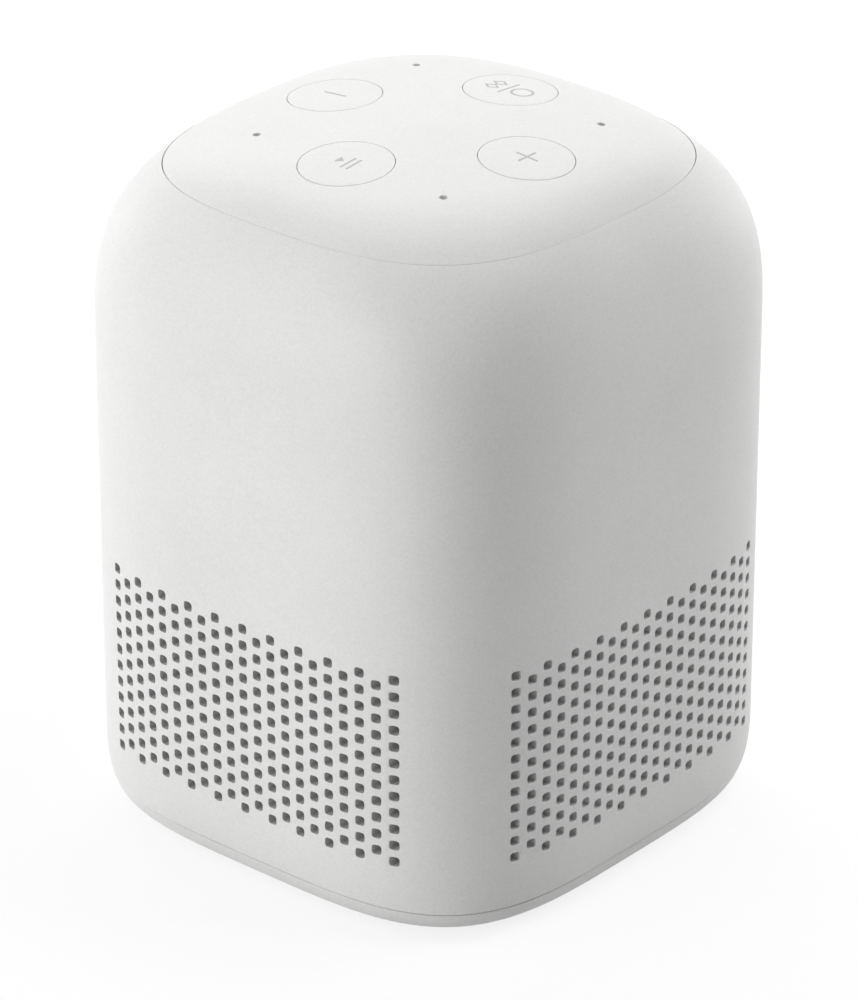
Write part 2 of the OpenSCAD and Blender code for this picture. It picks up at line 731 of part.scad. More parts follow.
// Flat cable between the two boards, slack enough to bow
ribbon_w = 10;
ribbon_t = 0.3;
ribbon_y = box_back - 3;
ribbon_plug_h = 2;
ribbon_low = main_board_top + ribbon_plug_h;
ribbon_high = key_board_z - board_t - ribbon_plug_h;
function ribbon_at(u) = [ribbon_y + 1.4 * sin(180 * u), ribbon_low + u * (ribbon_high - ribbon_low)];
module key_ribbon() color("lightgray") translate([-ribbon_w / 2, 0, 0])
  rotate([90, 0, 90]) linear_extrude(ribbon_w) polygon([
    for (u = [0 : 0.125 : 1]) ribbon_at(u),
    for (u = [1 : -0.125 : 0]) ribbon_at(u) + [ribbon_t, 0]
  ]);

module board_connectors() color("ivory") {
  block([-4, 4], span(lead_y, 2), [main_board_z - lead_plug_h, main_board_z]);
  block([-6, 6], span(ribbon_y, 1.5), [main_board_top, ribbon_low]);
  block([-6, 6], span(ribbon_y, 1.5), [ribbon_high, key_board_z - board_t]);
  block([-3.5, 3.5], [main_board_y - 6, main_board_y], [main_board_top, harness_end]);
}

// The driver's two leads rise through a rubber grommet in the box's roof
lead_low = grille_z + bowl_r + 2.4;
module speaker_leads() color("firebrick") for (i = [-1, 1]) translate([i * lead_x, lead_y, 0])
  rod(lead_r, lead_low, main_board_z - lead_plug_h - lead_low);

module lead_grommet() color("black") translate([0, lead_y, 0]) difference() {
  union() {
    rod(grommet_r - 0.02, box_top - box_wall, box_wall);
    rod(grommet_r + 1, box_top, 0.9);
  }
  for (i = [-1, 1]) translate([i * lead_x, 0, 0])
    rod(lead_r + fit, box_top - box_wall - 1, box_wall + 3);
}

// Sockets ----------------------------------------------------------------------------------------
jack_board_x = socket_x + 11;
jack_board_y = [box_back + gasket_t + lid_t + 1.8, half_w - wall - 3.3];
jack_screw_x = jack_board_x - 2.6;
jack_screw_y = jack_board_y[0] + 3.8;
jack_post_r = 2.4;
nose_y = half_w - 0.3;
socket_face = half_w - wall - 1.5;
socket_back = jack_board_y[0] + 0.8;
power_depth = 9.2;
pin_recess = 1;

module at_jack_screws() for (i = [-1, 1]) translate([i * jack_screw_x, jack_screw_y, 0]) children();

module jack_board() color("darkgreen") difference() {
  block([-jack_board_x, jack_board_x], jack_board_y, [jack_board_z, jack_board_z + board_t]);
  at_jack_screws() rod(key_screw_r + loose, jack_board_z - 1, board_t + 2);
}

module jack_board_screws() color("silver") at_jack_screws() translate([0, 0, jack_board_z + board_t])
  rotate([180, 0, 0]) screw(key_screw_r, board_t + 4, 1.9, 1.3);

// A socket's housing, from its foot on the board up to h, with a round nose through the wall
module socket_body(w, h, nose, bore, depth) difference() {
  union() {
    rotate([90, 0, 0]) block([-w / 2, w / 2], [socket_back, socket_face], [-socket_h, h - socket_h]);
    rod(nose, socket_face - overlap, nose_y - socket_face + overlap);
  }
  rod(bore / 2, nose_y - depth, depth + 1);
}

module power_inlet() color("black") at_power() {
  socket_body(9, 10, power_nose, power_bore, power_depth);
  rod(power_pin / 2, nose_y - power_depth - overlap, power_depth + overlap - pin_recess);
}

module audio_socket() color("black") at_audio() socket_body(8, 9, audio_nose, audio_bore, audio_depth);

// Flat harness from the socket board up behind the box and over to the main board's rear plug
harness_t = 1.4;
harness_w = 5;
harness_bend = 1.7; // radius of the bends at the middle of the harness
harness_out = jack_board_y[0] + 5.6;
harness_in = main_board_y - 3;
harness_low = jack_board_z + board_t;
harness_end = main_board_top + 4.4;
harness_top = harness_end + 4;

// Half of the harness's outline, drawn d outside its middle line
function harness_edge(d) = [
  [harness_out + d, harness_low],
  for (a = [0 : 15 : 90])
    [harness_out, harness_top] - harness_bend * [1, 1] + (harness_bend + d) * [cos(a), sin(a)],
  for (a = [90 : 15 : 180])
    [harness_in, harness_top] + harness_bend * [1, -1] + (harness_bend + d) * [cos(a), sin(a)],
  [harness_in - d, harness_end]
];
harness_outer = harness_edge(harness_t / 2);
harness_inner = harness_edge(-harness_t / 2);
module power_harness() color("black") translate([-harness_w / 2, 0, 0])
  rotate([90, 0, 90]) linear_extrude(harness_w) polygon([
    each harness_outer,
    for (k = [len(harness_inner) - 1 : -1 : 0]) harness_inner[k]
  ]);

// Base -------------------------------------------------------------------------------------------
lip_w = skirt_w(seam_z) - wall - air;
lip_t = 1.1;
lip_top = seam_z + 2.75;
head_r = 2.1;
head_h = 1.4;
head_z = base_z + 2;
foot_r = half_w - foot_in;
foot_sunk = 0.8;

rim_turn = acos((skirt_z - seam_z) / skirt_h); // share of the roll that lies below the parting line
base_skin = [
  for (k = [0 : 5]) let (z = skirt_z - skirt_h * cos(k * rim_turn / 5)) [skirt_w(z), side_n, z],
  [lip_w, side_n, seam_z],
  [lip_w, side_n, lip_top],
  [lip_w - lip_t, side_n, lip_top],
  [lip_w - lip_t, side_n, floor_z]
];

module base_plate() color("whitesmoke") difference() {
  union() {
    solid_loft(base_skin);
    at_corners(base_screw, base_screw) rod(boss_r, floor_z - overlap, boss_z - floor_z + overlap);
    at_box_ears() rod(box_ear_r, floor_z - overlap, box_z - floor_z + overlap);
    at_jack_screws() rod(jack_post_r, floor_z - overlap, jack_board_z - floor_z + overlap);
  }
  plan_ring(foot_r + 0.1, foot_r - foot_band - 0.1, side_n, base_z - 1, 1 + foot_sunk);
  at_corners(base_screw, base_screw) rod(screw_r + 0.2, base_z - 1, 10);
  at_corners(base_screw, base_screw) rod(head_r + 0.2, base_z - 1, head_z - base_z + 1);
  at_box_ears() rod(screw_r + fit, box_z - 3.2, 5);
  at_jack_screws() rod(key_screw_r + fit, jack_board_z - 4.4, 6);
}

module foot_ring() color("gray") plan_ring(foot_r, foot_r - foot_band, side_n, 0, foot_h + foot_sunk);

module base_screws() color("silver") at_corners(base_screw, base_screw) translate([0, 0, head_z])
  screw(screw_r, 10.6, head_r, head_h);

housing();
front_cloth();
left_cloth();
right_cloth();
top_cap();
button_play_pause();
button_volume_up();
button_mode();
button_volume_down();
plunger_play_pause();
plunger_volume_up();
plunger_mode();
plunger_volume_down();
switch_bodies();
key_board();
key_board_screws();
microphones();
microphone_gaskets();
speaker_box();
speaker_box_gasket();
speaker_box_lid();
lid_screws();
box_screws();
driver_basket();
driver_top_plate();
driver_magnet();
driver_yoke();
driver_voice_coil();
driver_spider();
driver_cone();
driver_dust_cap();
driver_surround();
driver_screws();
left_radiator_frame();
left_radiator_surround();
left_radiator_plate();
right_radiator_frame();
right_radiator_surround();
right_radiator_plate();
main_board();
main_board_screws();
radio_module();
processor();
board_capacitors();
board_connectors();
key_ribbon();
speaker_leads();
lead_grommet();
jack_board();
jack_board_screws();
power_inlet();
audio_socket();
power_harness();
base_plate();
foot_ring();
base_screws();
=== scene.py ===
import math

import bmesh
import bpy
import numpy as np
from mathutils import Matrix, Vector
from mathutils.geometry import delaunay_2d_cdt


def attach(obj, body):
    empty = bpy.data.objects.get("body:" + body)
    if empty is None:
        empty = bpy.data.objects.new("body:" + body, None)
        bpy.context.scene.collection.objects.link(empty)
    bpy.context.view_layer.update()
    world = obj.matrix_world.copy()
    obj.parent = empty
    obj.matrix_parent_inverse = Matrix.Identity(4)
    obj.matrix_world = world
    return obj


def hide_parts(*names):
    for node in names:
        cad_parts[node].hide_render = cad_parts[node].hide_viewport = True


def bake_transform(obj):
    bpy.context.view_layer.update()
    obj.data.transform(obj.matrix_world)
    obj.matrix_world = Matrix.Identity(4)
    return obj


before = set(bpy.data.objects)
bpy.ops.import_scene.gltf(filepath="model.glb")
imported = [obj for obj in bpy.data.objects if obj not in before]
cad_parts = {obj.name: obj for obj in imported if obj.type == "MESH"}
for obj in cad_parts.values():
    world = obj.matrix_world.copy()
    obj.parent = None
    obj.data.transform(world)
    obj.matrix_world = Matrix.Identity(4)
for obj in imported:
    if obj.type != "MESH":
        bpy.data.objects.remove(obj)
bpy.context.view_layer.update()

# Camera: a long lens, 28 degrees above the corner between the front and the right side. Its place
# is measured from the middle of the grille, and it is tilted to look a little above that.
MM = 0.001
GRILLE_Z = 28.7
CAMERA_AZIMUTH = 40.533
CAMERA_HEIGHT = 27.597
CAMERA_TILT = 26.369
CAMERA_DISTANCE = 0.85107
CAMERA_LENS = 199.08


def toward(azimuth, elevation):
    """The direction out from the speaker, in degrees: 0 is the front, and 90 the right side."""
    a = math.radians(azimuth)
    e = math.radians(elevation)
    return Vector((math.sin(a) * math.cos(e), -math.cos(a) * math.cos(e), math.sin(e)))


def set_up(name, data, middle, distance, direction):
    """A camera or lamp at a distance from a point of that height on the speaker's axis."""
    thing = bpy.data.objects.new(name, data)
    bpy.context.scene.collection.objects.link(thing)
    thing.location = Vector((0, 0, middle)) + distance * direction
    thing.rotation_mode = "QUATERNION"
    return thing


camera_place = toward(CAMERA_AZIMUTH, CAMERA_HEIGHT)
camera = set_up("camera", bpy.data.cameras.new("camera"), GRILLE_Z * MM, CAMERA_DISTANCE, camera_place)
camera.rotation_quaternion = (-toward(CAMERA_AZIMUTH, CAMERA_TILT)).to_track_quat("-Z", "Y")
camera.data.lens = CAMERA_LENS
camera.data.clip_start = 0.05
camera.data.clip_end = 60
bpy.context.scene.camera = camera
bpy.context.scene.view_settings.view_transform = "Standard"

# Studio floor and room: a plain white table that runs on to the horizon and keeps the speaker's
# soft shadow, under an even sky. The eye, gloss and glass see both of them white.
FLOOR_REACH = 12.0
FLOOR_DROP = 0.00002
FLOOR_WHITE = 0.72
FLOOR_SHADED = 0.22
FLOOR_GLOW = 0.82
SKY_LEVEL = 0.07
SKY_WHITE = 1.0

floor_mesh = bpy.data.meshes.new("floor")
floor_corners = [(x * FLOOR_REACH, y * FLOOR_REACH, 0) for x, y in ((-1, -1), (1, -1), (1, 1), (-1, 1))]
floor_mesh.from_pydata(floor_corners, [], [(0, 1, 2, 3)])
floor = bpy.data.objects.new("floor", floor_mesh)
floor.location.z = -FLOOR_DROP
bpy.context.scene.collection.objects.link(floor)


def grey(shade):
    return (shade, shade, shade, 1.0)


def feed(tree, node, values):
    """Gives inputs of a shader node their values, or links from outputs of other nodes."""
    for name, value in values.items():
        if isinstance(value, bpy.types.NodeSocket):
            tree.links.new(value, node.inputs[name])
        else:
            node.inputs[name].default_value = value


def add_node(tree, kind, values=None, operation=None):
    """A new shader node, fed with the given values."""
    node = tree.nodes.new("ShaderNode" + kind)
    if operation:
        node.operation = operation
    feed(tree, node, values or {})
    return node


def plain_view(tree, lights, seen, output):
    """Ends a tree with a shader that lights the speaker, and another that the eye sees in its place.

    It is seen directly, in gloss and through glass.
    """
    ray = add_node(tree, "LightPath").outputs
    gloss = add_node(tree, "Math", {0: ray["Is Camera Ray"], 1: ray["Is Glossy Ray"]}, "MAXIMUM")
    glass = {0: gloss.outputs["Value"], 1: ray["Is Transmission Ray"]}
    view = add_node(tree, "Math", glass, "MAXIMUM")
    mix = add_node(tree, "MixShader", {"Fac": view.outputs["Value"], 1: lights, 2: seen})
    add_node(tree, output, {"Surface": mix.outputs["Shader"]})


floor_paint = bpy.data.materials.new("floor_paint")
floor_paint.use_nodes = True
tree = floor_paint.node_tree
tree.nodes.clear()
matte = add_node(tree, "BsdfDiffuse", {"Color": grey(FLOOR_WHITE)}).outputs["BSDF"]
shade = add_node(tree, "BsdfDiffuse", {"Color": grey(FLOOR_SHADED)}).outputs["BSDF"]
glow = add_node(tree, "Emission", {"Strength": FLOOR_GLOW}).outputs["Emission"]
glowing = add_node(tree, "AddShader", {0: shade, 1: glow}).outputs["Shader"]
plain_view(tree, matte, glowing, "OutputMaterial")
floor_mesh.materials.append(floor_paint)

sky = bpy.data.worlds.new("sky")
bpy.context.scene.world = sky
sky.use_nodes = True
tree = sky.node_tree
tree.nodes.clear()
skies = [
    add_node(tree, "Background", {"Color": grey(SKY_WHITE), "Strength": strength}).outputs["Background"]
    for strength in (SKY_LEVEL, 1.0)
]
plain_view(tree, *skies, "OutputWorld")

# Lamps: eight square soft boxes in a ring round the speaker. The front and the left side get the
# most, and those behind light the far edges and leave the near right side darker.
LAMP_SIZE = 0.45
LAMP_DISTANCE = 0.9
LAMP_AIM = 0.055
LAMPS = (
    (-80, 10, 1.4),
    (-15, 10, 3.67),
    (165, 10, 1.48),
    (-120, 38, 2.0),
    (-45, 38, 1.4),
    (130, 38, 1.86),
    (205, 38, 1.5),
    (130, 66, 1.9),
)

for azimuth, elevation, watts in LAMPS:
    softbox = bpy.data.lights.new("softbox", "AREA")
    softbox.shape = "SQUARE"
    softbox.size = LAMP_SIZE
    softbox.energy = watts
    lamp_stand = set_up("softbox", softbox, LAMP_AIM, LAMP_DISTANCE, toward(azimuth, elevation))
    lamp_stand.rotation_quaternion = toward(azimuth, elevation).to_track_quat("Z", "Y")

# Housing: one moulding of white satin plastic, 2.2 mm thick, whose square plan has soft sides and
# corners. Staggered rows of small rounded-square holes pierce its front and both sides, and two
# socket holes its back. The deep walls of the small holes are painted darker, as painted shade.
# Four screws from below hold it to the base plate by posts in its corners.
HALF = 42.5
BODY_H = 111.4
SIDE_N = 3.78
CROWN_R = 222.0
SHOULDER_IN = 20.9
SHOULDER_H = 27.8
SHOULDER_N = 3.0
PLAN_FALL = 3.35
SKIRT_Z = 12.4
SKIRT_H = 11.6
SKIRT_IN = 5.0
SKIRT_N = 2.55
WALL = 2.2
SEAM_Z = 4.65
SEAM = 0.12
CAP_HALF = 35.35
SEAT_DROP = 2.4
LEDGE = 2.75
LEDGE_T = 2.0
PITCH = 2.75
SIDE_COLUMNS = 10
COLUMN_HOLES = 12
HOLE = 1.54
HOLE_ROUND = 0.46
HOLE_EDGE = 0.05
EDGE = 0.1
SOCKET_Z = 14.6
SOCKETS = ((9.0, 4.1), (-9.0, 3.2))
SOCKET_RIM = 1.0
CORNER_STEPS = 22
SHOULDER_STEPS = 22
LEDGE_STEPS = 4
STEP_IN = 0.01
UPRIGHT = 1e6
SKIRT_STEPS = 8
UPPER_STEPS = 13
LIP_EDGE = 0.08
POST_XY = 29.2
POST_R = 2.9
POST_HOLE_R = 1.05
POST_LOW = 5.4
POST_HIGH = 17.0
POST_ROOF = 2.0
RIB_HALF = 1.0
RIB_IN = 44.264
RIB_SINK = 0.02
RIB_LOW = 8.85


def fall(t, reach, fullness):
    """A rounded edge that falls by reach as t goes from 0 to 1."""
    return reach * (1 - (1 - np.clip(t, 0, 1) ** fullness) ** (1 / fullness))


def top_z(w):
    """The height of the crown and shoulder where the plan's half width is w."""
    return BODY_H - w * w / (2 * CROWN_R) - fall(1 - (HALF - w) / SHOULDER_IN, SHOULDER_H, SHOULDER_N)


def plan_n(w):
    """How square the plan is there: round near the middle, and squarer towards the walls."""
    return 2 + (SIDE_N - 2) * (w / HALF) ** PLAN_FALL


def skirt_w(z):
    """The half width of the walls at a height, which draw in towards the base."""
    return HALF - fall((SKIRT_Z - z) / SKIRT_H, SKIRT_IN, SKIRT_N)


def signed_power(v, e):
    return np.sign(v) * np.abs(v) ** e


def plan_turns(w):
    """Angles round the plan: every half pitch along the four sides, evenly round the corners."""
    x = np.arange(-2 * SIDE_COLUMNS - 1, 2 * SIDE_COLUMNS + 2) * PITCH / 2
    side = np.arcsin(signed_power(x / w, SIDE_N / 2))
    corner = side[-1] + np.arange(1, CORNER_STEPS) * (math.pi / 2 - 2 * side[-1]) / CORNER_STEPS
    quarter = np.concatenate([side, corner])
    return np.concatenate([quarter + q * math.pi / 2 for q in range(4)])


def plan_curve(w, n, turns):
    """The outline of a plan of half width w, as square as n says."""
    x = w * signed_power(np.sin(turns), 2 / n)
    y = -w * signed_power(np.cos(turns), 2 / n)
    return np.stack([x, y], axis=1)


def raised(plan, z):
    return np.column_stack([plan, np.broadcast_to(z, len(plan))])


def stacked(*loops):
    """Loops of plan points, each raised to its own height."""
    return [raised(plan, z) for plan, z in loops]


def circle(r, x=0.0, y=0.0, steps=48):
    a = np.arange(steps) * 2 * math.pi / steps
    return np.stack([x + r * np.cos(a), y + r * np.sin(a)], axis=1)


def quarter_turn(points, quarter):
    """The points turned by that many quarters round the speaker's axis."""
    c, s = ((1, 0), (0, 1), (-1, 0), (0, -1))[quarter]
    x, y, z = points.T
    return np.stack([c * x - s * y, s * x + c * y, z], axis=1)


class Skin:
    """Points, in millimetres, and faces of the surface of one piece."""

    def __init__(self):
        self.blocks = []
        self.count = 0
        self.faces = []
        self.inked_and_shaded = set()

    def ring(self, points):
        self.blocks.append(np.asarray(points, dtype=float))
        ring = list(range(self.count, self.count + len(points)))
        self.count += len(points)
        return ring

    def band(self, a, b):
        n = len(a)
        self.faces += [(a[k], a[(k + 1) % n], b[(k + 1) % n], b[k]) for k in range(n)]

    def chain(self, rings):
        """Bands of faces from each ring to the next. A new ring comes as points, an old one as numbers."""
        rings = [self.ring(r) if isinstance(r, np.ndarray) else r for r in rings]
        for a, b in zip(rings, rings[1:]):
            self.band(a, b)
        return rings

    def lid(self, ring):
        self.faces.append(tuple(ring))

    def solid(self, loops):
        """A closed solid through loops of points."""
        rings = self.chain(loops)
        self.lid(rings[0])
        self.lid(rings[-1])

    def piece(self, name, body=None, sharp=38):
        """The mesh object, which rides on a CAD body if one is named."""
        points = np.concatenate(self.blocks) * MM
        mesh = bpy.data.meshes.new(name)
        mesh.from_pydata(points.tolist(), [], [tuple(int(v) for v in f) for f in self.faces])
        for k in self.inked_and_shaded:
            mesh.polygons[k].material_index = 1
        filled = bmesh.new()
        filled.from_mesh(mesh)
        bmesh.ops.recalc_face_normals(filled, faces=filled.faces)
        filled.to_mesh(mesh)
        filled.free()
        for polygon in mesh.polygons:
            polygon.use_smooth = True
        mesh.set_sharp_from_angle(angle=math.radians(sharp))
        piece = bpy.data.objects.new(name, mesh)
        bpy.context.scene.collection.objects.link(piece)
        even = piece.modifiers.new("even_shading", "WEIGHTED_NORMAL")
        even.weight = 90
        even.keep_sharp = True
        if body:
            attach(piece, body)
        return piece


corners = ((1, 1), (-1, 1), (-1, -1), (1, -1))
SEAT_Z = top_z(CAP_HALF) - SEAT_DROP
outer_turns = plan_turns(HALF)
inner_turns = plan_turns(HALF - WALL)
around = len(outer_turns)
quarter_columns = around // 4
grille_low = GRILLE_Z - COLUMN_HOLES / 2 * PITCH
grille_high = GRILLE_Z + COLUMN_HOLES / 2 * PITCH
skirt_rows = np.linspace(SEAM_Z + SEAM + EDGE, grille_low, SKIRT_STEPS + 1)[:-1]
grille_rows = np.linspace(grille_low, grille_high, 2 * COLUMN_HOLES + 1)
upper_rows = np.linspace(grille_high, top_z(HALF), UPPER_STEPS + 1)[1:-1]
wall_rows = np.concatenate([skirt_rows, grille_rows, upper_rows])
first_grille_row = len(skirt_rows)
shoulder = HALF - (HALF - CAP_HALF - LIP_EDGE) * (np.arange(SHOULDER_STEPS + 1) / SHOULDER_STEPS) ** 2
slope = (top_z(shoulder - STEP_IN) - top_z(shoulder)) / STEP_IN
slope[0] = UPRIGHT
lean = np.sqrt(1 + slope**2)

levels = [(skirt_w(z), SIDE_N, z, outer_turns) for z in wall_rows]
levels += [(w, plan_n(w), top_z(w), outer_turns) for w in shoulder]
levels += [
    (CAP_HALF, plan_n(CAP_HALF), top_z(CAP_HALF + LIP_EDGE), outer_turns),
    (CAP_HALF, plan_n(CAP_HALF), SEAT_Z, outer_turns),
    (CAP_HALF - LEDGE, plan_n(CAP_HALF), SEAT_Z, inner_turns),
    (CAP_HALF - LEDGE, plan_n(CAP_HALF), SEAT_Z - LEDGE_T, inner_turns),
]
for w, m, k in list(zip(shoulder, slope, lean))[SHOULDER_STEPS - LEDGE_STEPS :: -1]:
    levels.append((w - WALL * m / k, plan_n(w), top_z(w) - WALL / k, inner_turns))
inner_wall_start = len(levels)
levels += [(skirt_w(z) - WALL, SIDE_N, z, inner_turns) for z in wall_rows[::-1]]
levels += [
    (skirt_w(SEAM_Z + SEAM) - WALL, SIDE_N, SEAM_Z + SEAM, inner_turns),
    (skirt_w(SEAM_Z + SEAM) - EDGE, SIDE_N, SEAM_Z + SEAM, outer_turns),
]

shell = Skin()
for w, n, z, turns in levels:
    shell.ring(raised(plan_curve(w, n, turns), z))
pierced = set()


def lattice(row, column):
    """The number of the shell's point on that level and column."""
    return row * around + column % around


def inner_row(row):
    """The inner wall's level behind a level of the outer wall."""
    return inner_wall_start + len(wall_rows) - 1 - row


def side_y(x, w):
    """The depth of the front wall at x along it, where its half width is w."""
    return -w * (1 - (np.abs(x) / w) ** SIDE_N) ** (1 / SIDE_N)


def side_points(plan, quarter, deep=0.0):
    """Points on a side at x along it and height z, deep inwards from its face."""
    x, z = plan.T
    return quarter_turn(np.stack([x, side_y(x, skirt_w(z)) + deep, z], axis=1), quarter)


def border(row_low, row_high, column_low, column_high):
    """The lattice points round a block of cells, anticlockwise seen from outside."""
    loop = [(row_low, c) for c in range(column_low, column_high)]
    loop += [(r, column_high) for r in range(row_low, row_high)]
    loop += [(row_high, c) for c in range(column_high, column_low, -1)]
    loop += [(r, column_low) for r in range(row_high, row_low, -1)]
    return loop


def rounded_square(half, corner):
    """24 points round a square with rounded corners, from the middle of its lower left corner."""
    points = []
    for q in range(4):
        for turn, shares in ((225, (0, 22.5, 45)), (315, (-45, -22.5))):
            middle = math.radians(turn + 90 * q)
            centre = (half - corner) * math.sqrt(2) * np.array([math.cos(middle), math.sin(middle)])
            for share in shares:
                a = middle + math.radians(share)
                points.append(centre + corner * np.array([math.cos(a), math.sin(a)]))
            if turn == 225:
                side = middle + math.pi / 4
                points.append(half * np.array([math.cos(side), math.sin(side)]))
    return np.array(points)


def frame_hole(outside, ring):
    """Faces between the 8 lattice points of a cell and the 24 points of its hole."""
    faces = []
    for s in range(8):
        a = outside[s]
        b = outside[(s + 1) % 8]
        r = [ring[(3 * s + k) % 24] for k in range(4)]
        if s % 2:
            faces += [(a, b, r[1], r[0]), (b, r[2], r[1]), (b, r[3], r[2])]
        else:
            faces += [(a, b, r[3], r[2]), (a, r[2], r[1]), (a, r[1], r[0])]
    return faces


def pierce(row, rows, column, columns):
    """Leaves out the cells of both walls where a hole goes through."""
    for r in range(row, row + rows):
        for c in range(column, column + columns):
            pierced.add((r, c % around))
            pierced.add((inner_row(r) - 1, c % around))


hole_mouth = rounded_square(HOLE / 2 + HOLE_EDGE, HOLE_ROUND + HOLE_EDGE)
hole_bore = rounded_square(HOLE / 2, HOLE_ROUND)
for quarter in (0, 1, 3):
    for i in range(-SIDE_COLUMNS, SIDE_COLUMNS + 1):
        holes = COLUMN_HOLES - abs(i) % 2
        for j in range(holes):
            row = first_grille_row + 2 * j + abs(i) % 2
            column = quarter * quarter_columns + 2 * (i + SIDE_COLUMNS)
            cell = border(row, row + 2, column, column + 2)
            middle = (i * PITCH, GRILLE_Z + (j - (holes - 1) / 2) * PITCH)
            mouth, bore, inside = shell.chain(
                [
                    side_points(hole_mouth + middle, quarter),
                    side_points(hole_bore + middle, quarter, HOLE_EDGE),
                    side_points(hole_bore + middle, quarter, WALL),
                ]
            )
            # The deep wall of each small hole takes the second material: painted shade, a darker white for
            # the gloom inside the hole.
            shell.inked_and_shaded.update(range(len(shell.faces) - 24, len(shell.faces)))
            shell.faces += frame_hole([lattice(r, c) for r, c in cell], mouth)
            shell.faces += frame_hole([lattice(inner_row(r), c) for r, c in cell], inside)
            pierce(row, 2, column, 2)

back_middle = 2 * quarter_columns + 2 * SIDE_COLUMNS + 1
for x, radius in SOCKETS:
    row_low = int(np.searchsorted(wall_rows, SOCKET_Z - radius - SOCKET_RIM)) - 1
    row_high = int(np.searchsorted(wall_rows, SOCKET_Z + radius + SOCKET_RIM))
    reach_columns = math.ceil((radius + SOCKET_RIM) / (PITCH / 2))
    middle_column = back_middle + round(x / (PITCH / 2))
    block = border(row_low, row_high, middle_column - reach_columns, middle_column + reach_columns)
    block_x = np.array([(c - back_middle) * PITCH / 2 for _, c in block])
    block_z = wall_rows[[r for r, _ in block]]
    angle = np.arctan2(block_z - SOCKET_Z, block_x - x)
    ray = np.stack([np.cos(angle), np.sin(angle)], axis=1)
    shell.chain(
        [
            [lattice(r, c) for r, c in block],
            side_points((radius + EDGE) * ray + (x, SOCKET_Z), 2),
            side_points(radius * ray + (x, SOCKET_Z), 2, EDGE),
            side_points(radius * ray + (x, SOCKET_Z), 2, WALL),
            [lattice(inner_row(r), c) for r, c in block],
        ]
    )
    pierce(row_low, row_high - row_low, middle_column - reach_columns, 2 * reach_columns)

for row in range(len(levels)):
    above = (row + 1) % len(levels)
    for c in range(around):
        if (row, c) not in pierced:
            cell = (lattice(row, c), lattice(row, c + 1), lattice(above, c + 1), lattice(above, c))
            shell.faces.append(cell)

rib_out = (HALF - WALL) * 2 ** (0.5 - 1 / SIDE_N) + RIB_SINK
rib = np.array([[RIB_IN, -RIB_HALF], [rib_out, -RIB_HALF], [rib_out, RIB_HALF], [RIB_IN, RIB_HALF]])
for q, (sx, sy) in enumerate(corners):
    post = circle(POST_R, sx * POST_XY, sy * POST_XY)
    bore = circle(POST_HOLE_R, sx * POST_XY, sy * POST_XY)
    bored = stacked((bore, POST_HIGH - POST_ROOF), (bore, POST_LOW), (post, POST_LOW), (post, POST_HIGH))
    shell.solid(bored)
    turn = math.pi / 4 + q * math.pi / 2
    spin = np.array([[math.cos(turn), math.sin(turn)], [-math.sin(turn), math.cos(turn)]])
    shell.solid(stacked((rib @ spin, RIB_LOW), (rib @ spin, POST_HIGH)))

housing = shell.piece("housing_shell", "enclosure")
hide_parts("housing")

CLOUD_SCALE = 60.0
TEXTURE_SCALE = 2600.0
TEXTURE_DEPTH = 0.05
SPECK = 0.05
SPECK_SHARE = 0.7
WARM_WHITE = (1.0, 1.0, 0.99)


def new_finish(name):
    """A new material, with its node tree and its main shader."""
    material = bpy.data.materials.new(name)
    material.use_nodes = True
    return material, material.node_tree, material.node_tree.nodes["Principled BSDF"]


def two_tone(tree, shader, source, low, high, margin):
    """Colours the surface between two shades as a texture goes from margin to 1 - margin."""
    ramp = add_node(tree, "ValToRGB", {"Fac": source})
    for element, position, shade in zip(ramp.color_ramp.elements, (margin, 1 - margin), (low, high)):
        element.position = position
        element.color = (*shade, 1)
    feed(tree, shader, {"Base Color": ramp.outputs["Color"]})


def patchy_polish(tree, shader, source, roughness, wander):
    """Lets the roughness wander with a texture by that much either way."""
    ends = {"To Min": roughness - wander, "To Max": roughness + wander}
    polish = add_node(tree, "MapRange", {"Value": source, **ends})
    feed(tree, shader, {"Roughness": polish.outputs["Result"]})


def relief(tree, shader, source, strength, depth):
    """Bumps the surface with a texture, depth millimetres deep."""
    bump = add_node(tree, "Bump", {"Height": source, "Strength": strength, "Distance": depth * MM})
    feed(tree, shader, {"Normal": bump.outputs["Normal"]})


def satin_plastic(name, shade, grain=0.3, roughness=0.52):
    """Moulded plastic with a fine spark-eroded texture, and faint clouds and specks in its colour."""
    material, tree, shader = new_finish(name)
    place = add_node(tree, "TexCoord").outputs["Object"]
    cloud = {"Vector": place, "Scale": CLOUD_SCALE, "Detail": 3.0}
    cloud = add_node(tree, "TexNoise", cloud).outputs["Fac"]
    texture = {"Vector": place, "Scale": TEXTURE_SCALE, "Detail": 2.0}
    texture = add_node(tree, "TexNoise", texture).outputs["Fac"]
    specks = add_node(tree, "Mix", {"Factor": SPECK_SHARE, "A": cloud, "B": texture})
    low = [shade * (1 - SPECK) * c for c in WARM_WHITE]
    high = [shade * (1 + SPECK) * c for c in WARM_WHITE]
    two_tone(tree, shader, specks.outputs["Result"], low, high, 0.3)
    patchy_polish(tree, shader, texture, roughness, 0.05)
    relief(tree, shader, texture, grain, TEXTURE_DEPTH)
    return material


housing.data.materials.append(satin_plastic("white_satin_housing", 0.86))
# Painted shade: the deep walls of the holes get a darker, matt white that stands in for the shade inside
# them.
housing.data.materials.append(satin_plastic("painted_shade_hole_bores", 0.7, roughness=0.8))

# Acoustic cloth: three strips of dark grey woven cloth, bonded flat to the inside of the walls
# behind the holes of the front and of both sides.
CLOTH_GAP = 0.1
CLOTH_W = HALF - WALL - CLOTH_GAP
CLOTH_T = 0.4
CLOTH_REACH = 27.3
CLOTH_LOW = 10.4
CLOTH_HIGH = 47.4
CLOTH_COLUMNS = 57
CLOTH_ROWS = 38


